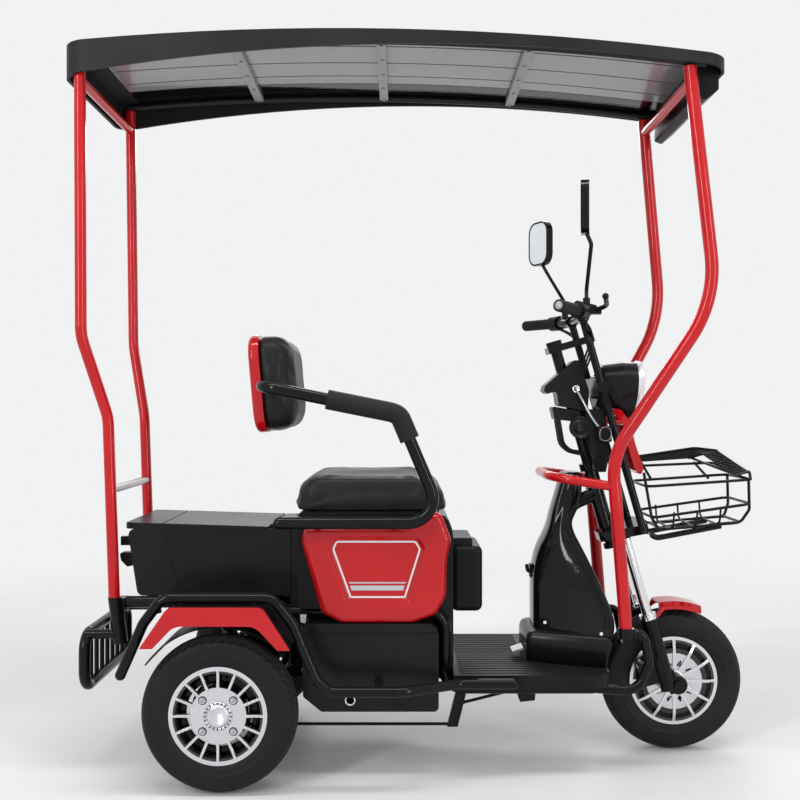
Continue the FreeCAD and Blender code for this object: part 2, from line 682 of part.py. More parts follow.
def basket():
    """Wire basket, raised and flared on its left side, on two bent tubes from the lower crown."""
    half = BASKET_HALF_WIDTH
    wire = BASKET_WIRE_RADIUS
    rear, front = BASKET_REAR, BASKET_FRONT
    low, rim = BASKET_BOTTOM, BASKET_RIM
    waist = (low + rim) / 2 - 24
    shapes = [basket_ring(rear, front, half, rim, BASKET_RISE),
              basket_ring(rear + 16, front, half - 2, waist, 36),
              basket_ring(rear + 46, front - 18, half - 22, low, BASKET_RISE)]
    for side in (-1, 1):
        y = (half - 12) * side
        foot = 0.8 * y
        rear_run = [(rear - 6, y, rim + 35), (rear + 14, y, waist), (rear + 36, foot, low),
                    (rear + 110, foot, low + 4)]
        front_run = [(front - 3, y, rim + BASKET_RISE), (front - 1, y, waist + 20),
                     (front - 18, foot, low + BASKET_RISE), (front - 100, foot, low + 12)]
        shapes += [tube(rear_run, wire, 18), tube(front_run, wire, 18)]
    for i in range(3):
        x = rear + 70 + 60 * i
        z = low + BASKET_RISE * (x - rear - 46) / (front - rear - 64)
        edge = half - 2
        across = [(x, -edge, z + 45), (x, 9 - edge, z + 10), (x, 30 - edge, z), (x, edge - 30, z),
                  (x, edge - 9, z + 10), (x, edge, z + 45)]
        shapes.append(tube(across, wire * 0.7, 10))
    flare = half + BASKET_FLARE
    raised = [(rear - 6, half - 12, rim + 35), (rear + 10, flare, rim + 37), (front - 23, flare, rim + 47),
              (front - 16, -60, rim + 23), (front - 4, -half, rim + BASKET_RISE)]
    shapes.append(tube(raised, wire, 18))
    band_rear = V(rear + 22, flare, rim + BASKET_BAND_HEIGHT)
    band_front = V(front - 55, flare + 62, rim + BASKET_BAND_HEIGHT + 23)
    drop = V(-14, -20, -28)
    thick = (band_front - band_rear).cross(drop).normalize() * 3
    band = [band_rear, band_front, band_front + drop, band_rear + drop * 0.5]
    shapes.append(slab([tuple(p) for p in band], 1, tuple(thick)))
    corner = (front, flare + 22, rim + 80)
    edge_run = [tuple(band_rear), tuple(band_front), corner, (front, 14 - half, rim + 36),
                (front - 2, -half, rim + BASKET_RISE)]
    shapes.append(tube(edge_run, wire, 18))
    shapes.append(rod(tuple(band_front + drop), (front - 16, -60, rim + 23), wire))
    for x, y in ((front - 52, flare + 40), (rear + 56, flare)):
        shapes.append(rod((x, half, rim + 8), (x - 10, y, rim + 45), wire))
    supports = []
    for side in (-1, 1):
        y = 60 * side
        start = steered_point(CARRIER_AHEAD, y, LOWER_CROWN_BOTTOM + LOWER_CROWN_HEIGHT / 2)
        run = low - wire - BASKET_SUPPORT_RADIUS + 1
        supports.append(tube([tuple(start), (start.x + 40, y, run - 14), (front - 68, y, run + BASKET_RISE)],
                             BASKET_SUPPORT_RADIUS, 24))
    edge_of_crown = CARRIER_AHEAD + CARRIER_RADIUS + 6 + SEAT_GAP
    return fuse(shapes + supports).cut(steered(box(-80, edge_of_crown, -150, 150, 0, 120)))


def front_fender():
    """Short red mudguard over the top of the front wheel, on a bracket from the fork."""
    half = FRONT_FENDER_HALF_WIDTH
    wall = FRONT_FENDER_WALL
    top = TYRE_RADIUS + FRONT_FENDER_GAP + wall
    edge = top - 19
    profile = [(-half, edge), (-half, top - 10), (12 - half, top), (half - 12, top), (half, top - 10),
               (half, edge), (half - wall, edge), (half - wall, top - 12), (half - 13.5, top - wall),
               (13.5 - half, top - wall), (wall - half, top - 12), (wall - half, edge)]
    hoop_over = turned(profile, FRONT_CENTRE)
    shapes = [hoop_over.common(side_slab([(628, 360), (652, 460), (760, 450), (742, 360)], 4, -90, 90))]
    legs = []
    for side in (-1, 1):
        shapes.append(rod((644, (half - 2) * side, 376), (604, FORK_HALF_SPACING * side, 342), 5))
        foot = V(CROWN_OFFSET, FORK_HALF_SPACING * side, -380)
        legs.append(steered(Part.makeCylinder(SLIDER_RADIUS + 1.5, 400, foot)))
    return cut(fuse(shapes), legs)


REAR_RAIL_HEIGHT = TUB_BOTTOM - SEAT_GAP - RAIL_RADIUS
RAIL_HEIGHT = FLOOR_TOP - FLOOR_THICKNESS - SEAT_GAP - RAIL_RADIUS


def down_tube(grow=0.0):
    joint = steered_point(0, 0, 165)
    return tube([(joint.x, 0, joint.z), (392, 0, 640), (372, 0, RAIL_HEIGHT)], 19 + grow, 70)


def front_rail(side, grow=0.0):
    y = RAIL_HALF_SPACING * side
    points = [(RAIL_FRONT_END, y, RAIL_HEIGHT), (UPRIGHT_X, y, RAIL_HEIGHT), (UPRIGHT_X, y, BED_RAIL_HEIGHT),
              (-200, y, BED_RAIL_HEIGHT)]
    return tube(points, RAIL_RADIUS + grow, 45)


def main_frame():
    """Head tube, down tube, two long rails that rise under the seat and over the axle, cross tubes."""
    length = HEAD_TUBE_TOP - HEAD_TUBE_BOTTOM
    bore = STEM_RADIUS + RUN_CLEARANCE
    head = steered(Part.makeCylinder(bore + HEAD_TUBE_WALL, length, V(0, 0, HEAD_TUBE_BOTTOM)))
    shapes = [head, down_tube()]
    for side in (-1, 1):
        y = RAIL_HALF_SPACING * side
        shapes.append(front_rail(side))
        rear_run = [(-200, y, BED_RAIL_HEIGHT), (-325, y, BED_RAIL_HEIGHT), (-375, y, REAR_RAIL_HEIGHT),
                    (RAIL_REAR_END, y, REAR_RAIL_HEIGHT)]
        shapes.append(tube(rear_run, RAIL_RADIUS, 60))
        shapes.append(box(-322, -292, y - 6, y + 6, 232, BED_RAIL_HEIGHT - 5))
    for x, z in ((372, RAIL_HEIGHT), (110, RAIL_HEIGHT), (-310, BED_RAIL_HEIGHT), (-600, REAR_RAIL_HEIGHT)):
        shapes.append(rod((x, -RAIL_HALF_SPACING, z), (x, RAIL_HALF_SPACING, z), CROSS_RADIUS))
    whole = fuse(shapes)
    return whole.cut(steered(Part.makeCylinder(bore, length + 20, V(0, 0, HEAD_TUBE_BOTTOM - 10))))


def side_rail(side):
    """Outer rail that runs from the floor, under the seat and up over the rear fender."""
    y = SIDE_RAIL_HALF_SPACING * side
    edge = (FLOOR_HALF_WIDTH + SEAT_GAP + SIDE_RAIL_RADIUS) * side
    low = FLOOR_TOP - FLOOR_THICKNESS / 2
    top = FENDER_TOP + SIDE_RAIL_RADIUS + 2.5
    points = [(230, edge, low), (100, edge, low), (-40, y, 236), (-212, y, 236), (-243, y, 264),
              (-300, y, 398), (-346, y, top), (-606, y, top), (-650, y, 398), (-704, y, 276)]
    rail = tube(points, SIDE_RAIL_RADIUS, [60, 70, 30, 40, 60, 35, 35, 60])
    shapes = [rail, Part.makeSphere(SIDE_RAIL_RADIUS, V(*points[-1])),
              Part.makeSphere(SIDE_RAIL_RADIUS, V(*points[0]))]
    shapes.append(rod((-100, y, 236), (-100, (BATTERY_HALF_WIDTH + SEAT_GAP) * side, 236), 9))
    for x in (-560, -392):
        shapes.append(rod((x, y, FENDER_TOP + SEAT_GAP), (x, y, FENDER_TOP + SIDE_RAIL_RADIUS), 8))
    return fuse(shapes)


def side_rails():
    return Part.makeCompound([side_rail(-1), side_rail(1)])


SOCKET_X = RAIL_REAR_END - 24.0


def rear_bumper():
    """Ribbed guard behind the wheels, on the two sockets that hold the rear roof posts."""
    low, high = BUMPER_BOTTOM, BUMPER_TOP
    corners = [(BUMPER_X, -188, low), (BUMPER_X, 188, low), (BUMPER_X, 188, high), (BUMPER_X, -188, high)]
    shapes = [hoop(corners, 14, 42)]
    for i in range(7):
        y = -138 + 46 * i
        shapes.append(rod((BUMPER_X, y, low), (BUMPER_X, y, high), 6))
    for side in (-1, 1):
        y = SOCKET_HALF_SPACING * side
        socket = rod((SOCKET_X, y, REAR_POST_FOOT + 6), (SOCKET_X + 16, y, high - 22), SOCKET_RADIUS)
        shapes.append(below(socket, REAR_POST_FOOT))
        shapes.append(rod((SOCKET_X + 16, y, high), (BUMPER_X, y, high), 12))
        y0, y1 = sorted(((RAIL_HALF_SPACING - 14) * side, y))
        shapes.append(box(SOCKET_X, RAIL_REAR_END - SEAT_GAP, y0, y1, REAR_RAIL_HEIGHT - 20,
                          REAR_RAIL_HEIGHT + 13))
    return fuse(shapes)


def rear_axle():
    """Axle tube, motor block, drums, spindles and the two arms that lead forward to the frame."""
    centre = V(REAR_AXLE_X, 0, TYRE_RADIUS)
    half = REAR_TRACK / 2
    axis = V(0, 1, 0)
    drum_in = half - 36
    shapes = [Part.makeCylinder(25, 2 * drum_in, centre - V(0, drum_in, 0), axis),
              turned([(-80, 0), (-80, 62), (-68, 76), (68, 76), (80, 62), (80, 0)], centre)]
    for side in (-1, 1):
        place = centre + V(0, drum_in * side, 0)
        shapes.append(Part.makeCylinder(DRUM_RADIUS, 6, place, V(0, side, 0)))
        shapes.append(Part.makeCylinder(DRUM_RADIUS - 6, 44, place, V(0, side, 0)))
        shapes.append(Part.makeCylinder(SPINDLE_RADIUS, half + 30 - drum_in, place, V(0, side, 0)))
        y = RAIL_HALF_SPACING * side
        arm = y + 24 * side
        shapes.append(tube([(REAR_AXLE_X, arm, TYRE_RADIUS), (-400, arm, TYRE_RADIUS + 20), (-307, arm, 252)],
                           13, 60))
        shapes.append(rod((-307, y + (6 + SEAT_GAP) * side, 252), (-307, y + 38 * side, 252), 16))
    return fuse(shapes)


def rear_shocks():
    """Two coil and damper units between the axle tube and the rails above it."""
    low = TYRE_RADIUS + 25 + SEAT_GAP
    high = REAR_RAIL_HEIGHT - RAIL_RADIUS - SEAT_GAP
    coils_low = low + 30
    coils_high = high - 24
    pitch = (coils_high - coils_low) / SHOCK_COILS
    profile = [(0, low), (11, low), (11, low + 22), (22, low + 22), (22, coils_low)]
    for i in range(SHOCK_COILS):
        z = coils_low + pitch * i
        profile += [(15, z + 0.1 * pitch), (15, z + 0.3 * pitch), (23, z + 0.5 * pitch),
                    (23, z + 0.7 * pitch)]
    profile += [(22, coils_high), (22, coils_high + 8), (13, coils_high + 8), (13, high), (0, high)]
    places = (-RAIL_HALF_SPACING, RAIL_HALF_SPACING)
    return Part.makeCompound([upright_turned(profile, REAR_AXLE_X, y) for y in places])


def battery_case():
    """Closed case below the seat, with the round charging port in its right side."""
    top = BED_RAIL_HEIGHT - RAIL_RADIUS - SEAT_GAP
    outline = [(BATTERY_REAR, 196), (-240, BATTERY_BOTTOM), (BATTERY_FRONT, BATTERY_BOTTOM),
               (BATTERY_FRONT, top), (BATTERY_REAR, top)]
    case = side_slab(outline, [12, 12, 12, 30, 12], -BATTERY_HALF_WIDTH, BATTERY_HALF_WIDTH)
    collar = rod((PORT_X, -BATTERY_HALF_WIDTH + 2, PORT_Z), (PORT_X, -BATTERY_HALF_WIDTH - 5, PORT_Z),
                 PORT_RADIUS + 5)
    bore = rod((PORT_X, -BATTERY_HALF_WIDTH + PORT_DEPTH, PORT_Z),
               (PORT_X, -BATTERY_HALF_WIDTH - 9, PORT_Z), PORT_RADIUS)
    seam = 2.0
    case = fuse([case, collar])
    for side in (-1, 1):
        y0, y1 = sorted(((BATTERY_HALF_WIDTH - seam) * side, (BATTERY_HALF_WIDTH + 9) * side))
        case = case.cut(box(BATTERY_REAR - 5, BATTERY_FRONT + 5, y0, y1, top - 24, top - 20))
    return case.cut(bore)


def seat_pedestal():
    """Upright panel between the floor and the seat, in front of the battery."""
    rear = 51.0
    half = RAIL_HALF_SPACING - RAIL_RADIUS - 1
    return side_slab([(rear, 216), (rear + PEDESTAL_THICKNESS, 216), (rear + PEDESTAL_THICKNESS, 560),
                      (rear + PEDESTAL_THICKNESS + 4, 640), (rear, 640)], 5, -half, half)


def seat_base():
    """Box that carries the seat on the rails."""
    bottom = BED_RAIL_HEIGHT + RAIL_RADIUS + SEAT_GAP
    half = SEAT_BASE_HALF_WIDTH
    outline = [(-300, bottom), (50, bottom), (50, SEAT_BASE_TOP), (-300, SEAT_BASE_TOP)]
    return side_slab(outline, 14, -half, half)


def front_tool_box():
    """Rounded black box with a lid on the front of the seat pedestal."""
    rear = 85 + SEAT_GAP
    outline = [(rear, 378), (146, 378), (160, 396), (166, 440), (166, 500), (160, 536), (148, 552),
               (rear, 556)]
    body = side_slab(outline, 9, -96, 96)
    lid = side_slab([(rear + 4, 552), (146, 549), (140, 568), (rear + 4, 568)], 5, -88, 88)
    groove = side_slab([(rear - 5, 540), (175, 537), (175, 541), (rear - 5, 544)], 0, -100, 100)
    core = [(rear + 3, 381), (143, 381), (157, 399), (163, 440), (163, 500), (157, 533), (145, 549),
            (rear + 3, 553)]
    return fuse([body.cut(groove.cut(side_slab(core, 6, -93, 93))), lid])


PANEL_OUTLINE = [(-282, 612), (-290, 578), (-240, 400), (-192, 375.2), (-16, 375.2), (42, 396), (66, 440),
                 (68, 528), (79, 580), (54, 646.5), (16, 646.5), (-30, 612)]
PANEL_RECESS = [(-206, 581), (-6, 581), (8, 558), (-31, 434), (-172, 434), (-217, 558)]


def side_panel(side):
    """Glossy shell beside the seat base, with a flat recess in its outer face."""
    inner = SEAT_BASE_HALF_WIDTH + SEAT_GAP
    outer = inner + PANEL_THICKNESS + 6
    y0, y1 = sorted((inner * side, outer * side))
    panel = side_slab(PANEL_OUTLINE, 24, y0, y1)
    rim = [e for e in panel.Edges if abs(abs(e.CenterOfMass.y) - outer) < 0.01]
    panel = panel.makeFillet(11, rim)
    r0, r1 = sorted(((outer - 5) * side, (outer + 5) * side))
    return panel.cut(side_slab(PANEL_RECESS, 12, r0, r1))


def seat_cushion():
    low = SEAT_BASE_TOP + SEAT_GAP
    half = CUSHION_HALF_WIDTH
    body = side_slab([(-305, low), (72, low), (70, low + 34), (38, low + CUSHION_HEIGHT - 6),
                      (-60, low + CUSHION_HEIGHT), (-270, low + CUSHION_HEIGHT), (-305, low + 50)], 24,
                      -half, half)
    ends = [e for e in body.Edges if abs(abs(e.CenterOfMass.y) - half) < 0.01 and e.CenterOfMass.z > low + 20]
    return body.makeFillet(16, ends)


def arm_points():
    y = ARM_HALF_SPACING
    half = [(-337, -y, ARM_LOW), (ARM_CORNER[0], -y, ARM_CORNER[1]), (ARM_KNEE[0], -y, ARM_KNEE[1]),
            (ARM_BACK[0], -y, ARM_BACK[1])]
    return half + [(x, -yy, z) for x, yy, z in half[::-1]]


def arm_tube(grow=0.0):
    return tube(arm_points(), ARM_RADIUS + grow, [60, 42, 45, 45, 42, 60])


def armrest_frame():
    """One bent tube: both lower runs, both arms and the bar that carries the backrest."""
    shapes = [arm_tube()]
    for side in (-1, 1):
        for x in (-250, -60):
            shapes.append(rod((x, ARM_HALF_SPACING * side, ARM_LOW),
                              (x, (SEAT_BASE_HALF_WIDTH + SEAT_GAP) * side, ARM_LOW), 8))
        shapes.append(Part.makeSphere(ARM_RADIUS, V(-337, ARM_HALF_SPACING * side, ARM_LOW)))
    return fuse(shapes)


def armrest_pads():
    """Foam sleeves around the tops of the arms."""
    shapes = []
    for side in (-1, 1):
        y = ARM_HALF_SPACING * side
        slope = (ARM_BACK[1] - ARM_KNEE[1]) / (ARM_BACK[0] - ARM_KNEE[0])
        rear = (-222, y, ARM_KNEE[1] + slope * (-222 - ARM_KNEE[0]))
        drop = 62.0
        ahead = (ARM_CORNER[0] - ARM_KNEE[0]) / (ARM_CORNER[1] - ARM_KNEE[1])
        front = (ARM_KNEE[0] - ahead * drop, y, ARM_KNEE[1] - drop)
        knee = (ARM_KNEE[0], y, ARM_KNEE[1])
        sleeve = tube([rear, knee, front], ARM_PAD_RADIUS, 42)
        shapes.append(sleeve.cut(arm_tube(SEAT_GAP)))
    return Part.makeCompound(shapes)


def backrest_outline(x0, x1, lean, shrink):
    half = BACKREST_HALF_WIDTH - shrink
    low, high = BACKREST_BOTTOM + shrink, BACKREST_TOP - shrink
    body = slab([(x0, -half, low), (x0, half, low), (x0, half, high), (x0, -half, high)], 60, (x1 - x0, 0, 0))
    body.rotate(V(ARM_BACK[0], 0, ARM_BACK[1]), V(0, 1, 0), -lean)
    return body


def backrest_cushion():
    body = backrest_outline(-396 + SEAT_GAP, -316, 5, 4)
    front = [e for e in body.Edges if e.CenterOfMass.x > -335 and e.Length > 1]
    body = body.makeFillet(20, front)
    return body.cut(arm_tube(SEAT_GAP))


def backrest_shell():
    """Glossy shell on the rear of the backrest, clamped on the cross bar of the armrests."""
    body = backrest_outline(-424, -396, 5, 0)
    rear = [e for e in body.Edges if e.CenterOfMass.x < -408]
    body = body.makeFillet(14, rear)
    return body.cut(arm_tube(SEAT_GAP))


def tub_outline(grow):
    return [(TUB_REAR - grow + 26, TUB_BOTTOM - grow), (TUB_FRONT + grow, TUB_BOTTOM - grow),
            (TUB_FRONT + grow, TUB_TOP + grow), (TUB_REAR - grow, TUB_TOP + grow)]


def knuckle(y0):
    return Part.makeCylinder(KNUCKLE_RADIUS, KNUCKLE_LENGTH, V(LID_HINGE_X, y0, HINGE_Z), V(0, 1, 0))


def cargo_tub():
    """Open box over the rear axle, with a fixed deck at its front end that carries the lid."""
    half = TUB_HALF_WIDTH
    wall = TUB_WALL
    outer = side_slab(tub_outline(0), 16, -half, half)
    deck = box(DECK_REAR, TUB_FRONT, -half, half, TUB_TOP - 6, LID_TOP_FRONT)
    inner = side_slab([(TUB_REAR + 26 + wall, TUB_BOTTOM + wall), (TUB_FRONT - wall, TUB_BOTTOM + wall),
                       (TUB_FRONT - wall, LID_TOP_FRONT - wall), (DECK_REAR + wall, LID_TOP_FRONT - wall),
                       (DECK_REAR + wall, TUB_TOP - 12), (LID_FRONT - 4, TUB_TOP - 12),
                       (LID_FRONT - 4, TUB_TOP + 9), (TUB_REAR + wall, TUB_TOP + 9)],
                      0, wall - half, half - wall)
    panel = [(BOX_SEAM, TUB_TOP - 6), (TUB_FRONT - 10, TUB_TOP - 6), (TUB_FRONT - 10, 450),
             (BOX_SEAM + 40, 450)]
    recesses = [side_slab(panel, 5, half - 1.5, half + 9), side_slab(panel, 5, -half - 9, 1.5 - half)]
    shapes = [cut(fuse([outer, deck]), [inner] + recesses)]
    for y in HINGE_CENTRES:
        for side in (-1, 1):
            y0 = y + side * (KNUCKLE_LENGTH + SEAT_GAP) - KNUCKLE_LENGTH / 2
            shapes.append(knuckle(y0))
            shapes.append(box(LID_HINGE_X, DECK_REAR + 2, y0, y0 + KNUCKLE_LENGTH, HINGE_Z - 4, HINGE_Z + 1))
        start = V(LID_HINGE_X, y - 1.2 * KNUCKLE_LENGTH, HINGE_Z)
        shapes.append(Part.makeCylinder(HINGE_PIN, 2.4 * KNUCKLE_LENGTH, start, V(0, 1, 0)))
    return fuse(shapes)


def cargo_lid():
    """Moulded lid that falls a little towards its front edge, where it is hinged."""
    half = TUB_HALF_WIDTH + 3
    rear = TUB_REAR - LID_OVERHANG
    low = TUB_TOP + SEAT_GAP
    plan = [(rear, -half), (LID_FRONT, -half), (LID_FRONT, half), (rear, half)]
    wedge = side_slab([(rear, low), (LID_FRONT, low), (LID_FRONT, LID_TOP_FRONT), (rear, LID_TOP_REAR)],
                      [0, 0, 0, 9], -half, half)
    body = plan_slab(plan, [26, 3, 3, 26], low - 9, LID_TOP_REAR + 9).common(wedge)
    solid_front = LID_FRONT - 60
    wall = TUB_WALL + 3
    top_there = LID_TOP_FRONT + (LID_TOP_REAR - LID_TOP_FRONT) * (LID_FRONT - solid_front) / (LID_FRONT - rear)
    hollow = side_slab([(rear + wall, low - 5), (solid_front, low - 5), (solid_front, top_there - TUB_WALL),
                        (rear + wall, LID_TOP_REAR - TUB_WALL)], 0, wall - half, half - wall)
    groove = box(BOX_SEAM - 2, BOX_SEAM + 2, -half - 1, half + 1, LID_TOP_REAR - 4.5, LID_TOP_REAR + 9)
    shapes = [cut(body, [hollow, groove])]
    for y in HINGE_CENTRES:
        y0 = y - KNUCKLE_LENGTH / 2
        shapes.append(knuckle(y0))
        shapes.append(box(LID_FRONT - 2, LID_HINGE_X, y0, y0 + KNUCKLE_LENGTH, HINGE_Z - 4, HINGE_Z + 1))
    lid = fuse(shapes)
    bore = Part.makeCylinder(HINGE_PIN + RUN_CLEARANCE, 2 * half, V(LID_HINGE_X, -half, HINGE_Z), V(0, 1, 0))
    return lid.cut(bore)


def box_latches():
    """Latch and pointed lamp on each rear corner of the box."""
    shapes = []
    outer = side_slab(tub_outline(SEAT_GAP), 16, -300, 300)
    rear = TUB_REAR
    for side in (-1, 1):
        y0, y1 = sorted(((TUB_HALF_WIDTH - 40) * side, (TUB_HALF_WIDTH - 14) * side))
        latch = box(rear - 22, rear + 14, y0 + 4, y1 - 4, TUB_TOP - 44, TUB_TOP - 22).cut(outer)
        lamp = side_slab([(rear - 24, TUB_TOP - 62), (rear + 20, TUB_TOP - 62), (rear + 20, TUB_TOP - 92),
                          (rear - 4, TUB_TOP - 98), (rear - 20, TUB_TOP - 82)], 6, y0, y1).cut(outer)
        shapes += [latch, lamp]
    return Part.makeCompound(shapes)


FENDER_LINE = [(-653, 345), (-587, FENDER_TOP), (-367, FENDER_TOP), (-302, 341)]
ARCH_LINE = [(-331, 341), (-384, 397), (-572, 397), (-622, 345)]


def fender(side):
    """Black arch over the rear wheel. Its top reaches in to the side of the cargo box."""
    y0, y1 = sorted(((RAIL_HALF_SPACING + RAIL_RADIUS + 1) * side, FENDER_OUTER * side))
    inner = [(-307, 341), (-369.5, FENDER_TOP - FENDER_WALL), (-584.5, FENDER_TOP - FENDER_WALL), (-648, 345)]
    arch = side_slab(FENDER_LINE + inner, [1, 26, 26, 1, 1, 22, 22, 1], y0, y1)
    t0, t1 = sorted(((TUB_HALF_WIDTH + SEAT_GAP) * side, (RAIL_HALF_SPACING + RAIL_RADIUS + 3) * side))
    return fuse([arch, box(-574, -380, t0, t1, FENDER_TOP - FENDER_WALL, FENDER_TOP)])


def fender_trim(side):
    """Glossy band around the outer edge of the fender."""
    y0 = (FENDER_OUTER + SEAT_GAP) * side
    y1 = (FENDER_OUTER + TRIM_THICKNESS) * side
    return side_slab(FENDER_LINE + ARCH_LINE, [2, 26, 26, 2, 2, 40, 40, 2], min(y0, y1), max(y0, y1))


def floor_board():
    """Moulded footboard with long ribs and rounded front corners."""
    half = FLOOR_HALF_WIDTH
    low = FLOOR_TOP - FLOOR_THICKNESS
    corners = [(FLOOR_REAR, -half), (FLOOR_FRONT, -half), (FLOOR_FRONT, half), (FLOOR_REAR, half)]
    body = plan_slab(corners, [6, 50, 50, 6], low, FLOOR_TOP)
    ribs = [box(100, 276, y - 2, y + 2, FLOOR_TOP - 0.5, FLOOR_TOP + 1.5) for y in range(-198, 199, 22)]
    return cut(fuse([body] + ribs), [down_tube(SEAT_GAP), front_rail(-1, SEAT_GAP / 2),
                                     front_rail(1, SEAT_GAP / 2)])


SHIELD_SIDE = [(283, 249.3), (284, 318), (303, 328), (303, 470), (316, 530), (345, 584), (350, 612),
               (357, 640), (372, 690), (384, 735), (432, 735), (434, 690), (430, 642), (405, 618),
               (400, 592), (454, 475), (487, 397), (498, 352), (470, 249.3)]
SHIELD_REAR = 283.0
SHIELD_FRONT = 506.0
SHIELD_BOTTOM = 320.0
SHIELD_REAR_HALVES = [(38, SHIELD_BOTTOM), (38, 460), (30, 530), (26, 584), (30, 612), (40, 645), (38, 745)]
SHIELD_FRONT_HALVES = [(160, SHIELD_BOTTOM), (164, 460), (150, 530), (110, 584), (80, 612), (46, 645),
                       (44, 745)]


def shield_block(inset):
    """Widens from the narrow rear face to the front. The plinth below it is wider."""
    wires = []
    for x, halves in ((SHIELD_REAR, SHIELD_REAR_HALVES), (SHIELD_FRONT, SHIELD_FRONT_HALVES)):
        near = [V(x, inset - half, z) for half, z in halves]
        far = [V(x, half - inset, z) for half, z in halves[::-1]]
        wires.append(Part.makePolygon(near + far + [near[0]]))
    body = Part.makeLoft(wires, True, True)
    low = FLOOR_TOP - 20
    plan = [(SHIELD_REAR - 5, inset - 84), (SHIELD_FRONT, inset - 168), (SHIELD_FRONT, 168 - inset),
            (SHIELD_REAR - 5, 84 - inset)]
    plinth = plan_slab(plan, 12, low, SHIELD_BOTTOM + 8 - inset)
    return fuse([body, plinth])


def leg_shield():
    """Tall hollow shield between the rider's legs and the front wheel, narrowing to a neck."""
    wall = SHIELD_WALL
    corners = [2, 6, 6, 60, 60, 12, 12, 20, 20, 8, 8, 20, 14, 10, 10, 60, 60, 30, 2]
    outer = side_slab(SHIELD_SIDE, corners, -190, 190).common(shield_block(0))
    inside = side_slab(SHIELD_SIDE, corners, -190, 190)
    inside = inside.common(inside.translated(V(wall, 0, 0))).common(inside.translated(V(-wall, 0, 0)))
    inside = inside.common(inside.translated(V(0, 0, -wall)))
    drain = box(SHIELD_REAR + 8, 464, -150, 150, FLOOR_TOP - 20, FLOOR_TOP + 12)
    inner = fuse([inside.common(shield_block(wall)), drain.common(shield_block(wall))])
    outer = above(outer, FLOOR_TOP + SEAT_GAP)
    hook = side_slab([(308, 470), (282, 500), (276, 500), (290, 462), (308, 462)], 2, -12, 12)
    shell = fuse([outer, hook]).cut(inner)
    return cut(shell, [down_tube(4.0), steered(Part.makeCylinder(26, 300, V(0, 0, HEAD_TUBE_BOTTOM - 30)))])


def front_guard():
    """Bent tubes beside the front wheel, each with the socket of a front roof post."""
    shapes = []
    for side in (-1, 1):
        y = 156 * side
        guard = tube([(RAIL_FRONT_END - 20, 150 * side, RAIL_HEIGHT), (548, y, RAIL_HEIGHT - 8),
                      (580, y, 262), (564, y, 340), (508, y, 325)], 12, [50, 40, 20])
        guard = guard.cut(box(0, RAIL_FRONT_END + SEAT_GAP, -200, 200, 100, 260))
        post_foot = front_post_points(side)[-1]
        cup_foot = V(post_foot[0], post_foot[1], FRONT_POST_FOOT - 26 - SEAT_GAP)
        cup = Part.makeCylinder(FRONT_POST_RADIUS + 4, 26, cup_foot)
        shapes.append(fuse([guard, cup]))
    return Part.makeCompound(shapes)


def brake_linkage():
    """Hanging lever, the long rod to the rear axle, and the link to the pedal bracket."""
    top = RAIL_HEIGHT - CROSS_RADIUS - SEAT_GAP
    y = -118.0
    lever = side_slab([(96, top), (124, top), (100, 92), (72, 92)], 3, y - 6, y + 6)
    rear = side_slab([(-452, 88), (-428, 88), (-440, 150), (-462, 150)], 3, y - 5, y + 5)
    main = rod((86, y, 98), (-440, y, 98), 4)
    link = rod((104, y, 150), (262, y, RAIL_HEIGHT - 10), 4)
    bracket = side_slab([(238, RAIL_HEIGHT + 13), (300, RAIL_HEIGHT + 13), (296, 160), (258, 156)], 4,
                        y - 9, y + 9)
    axle = Part.makeCylinder(25 + SEAT_GAP, 400, V(REAR_AXLE_X, -200, TYRE_RADIUS), V(0, 1, 0))
    return fuse([lever, rear, main, link, bracket]).cut(axle)


def brake_pedal():
    pad = side_slab([(246, 262), (276, 272), (276, 278), (246, 268)], 1, -60, -8)
    stem = box(256, 268, -39, -28, FLOOR_TOP + SEAT_GAP, 268)
    return fuse([pad, stem])


def arc_circle(line):
    (x1, z1), (x2, z2), (x3, z3) = line
    curve = Part.Arc(V(x1, 0, z1), V(x2, 0, z2), V(x3, 0, z3)).toShape().Curve
    return curve.Center, curve.Radius


def arc_at(line, x, inward=0.0):
    centre, radius = arc_circle(line)
    return centre.z + math.sqrt((radius - inward) ** 2 - (x - centre.x) ** 2)


def roof_block(inward, skirt_down):
    """The space between the roof's top curve and its lower edge, past the outline on all sides."""
    x0, x1 = ROOF_REAR - 30, ROOF_FRONT + 30
    middle = (x0 + x1) / 2
    half = ROOF_HALF_WIDTH + 30
    tops = [V(x, -half, arc_at(ROOF_TOP_LINE, x, inward)) for x in (x0, middle, x1)]
    lows = [V(x, -half, arc_at(ROOF_SKIRT_LINE, x) - skirt_down) for x in (x0, middle, x1)]
    edges = [Part.Arc(*tops).toShape(), Part.LineSegment(tops[2], lows[2]).toShape(),
             Part.Arc(lows[2], lows[1], lows[0]).toShape(), Part.LineSegment(lows[0], tops[0]).toShape()]
    return Part.Face(Part.Wire(edges)).extrude(V(0, 2 * half, 0))


def roof_plan(inset):
    half = ROOF_HALF_WIDTH - inset
    corners = [(ROOF_REAR + inset, -half), (ROOF_FRONT - inset, -half), (ROOF_FRONT - inset, half),
               (ROOF_REAR + inset, half)]
    low = min(z for x, z in ROOF_SKIRT_LINE) - 200
    high = max(z for x, z in ROOF_TOP_LINE) + 80
    return plan_slab(corners, ROOF_CORNER - inset, low, high)


def roof_panel():
    """Arched roof tray with a deep skirt all round."""
    outer = roof_plan(0).common(roof_block(0, 0))
    inner = roof_plan(ROOF_SKIRT).common(roof_block(ROOF_TOP_WALL, 60))
    return outer.cut(inner)


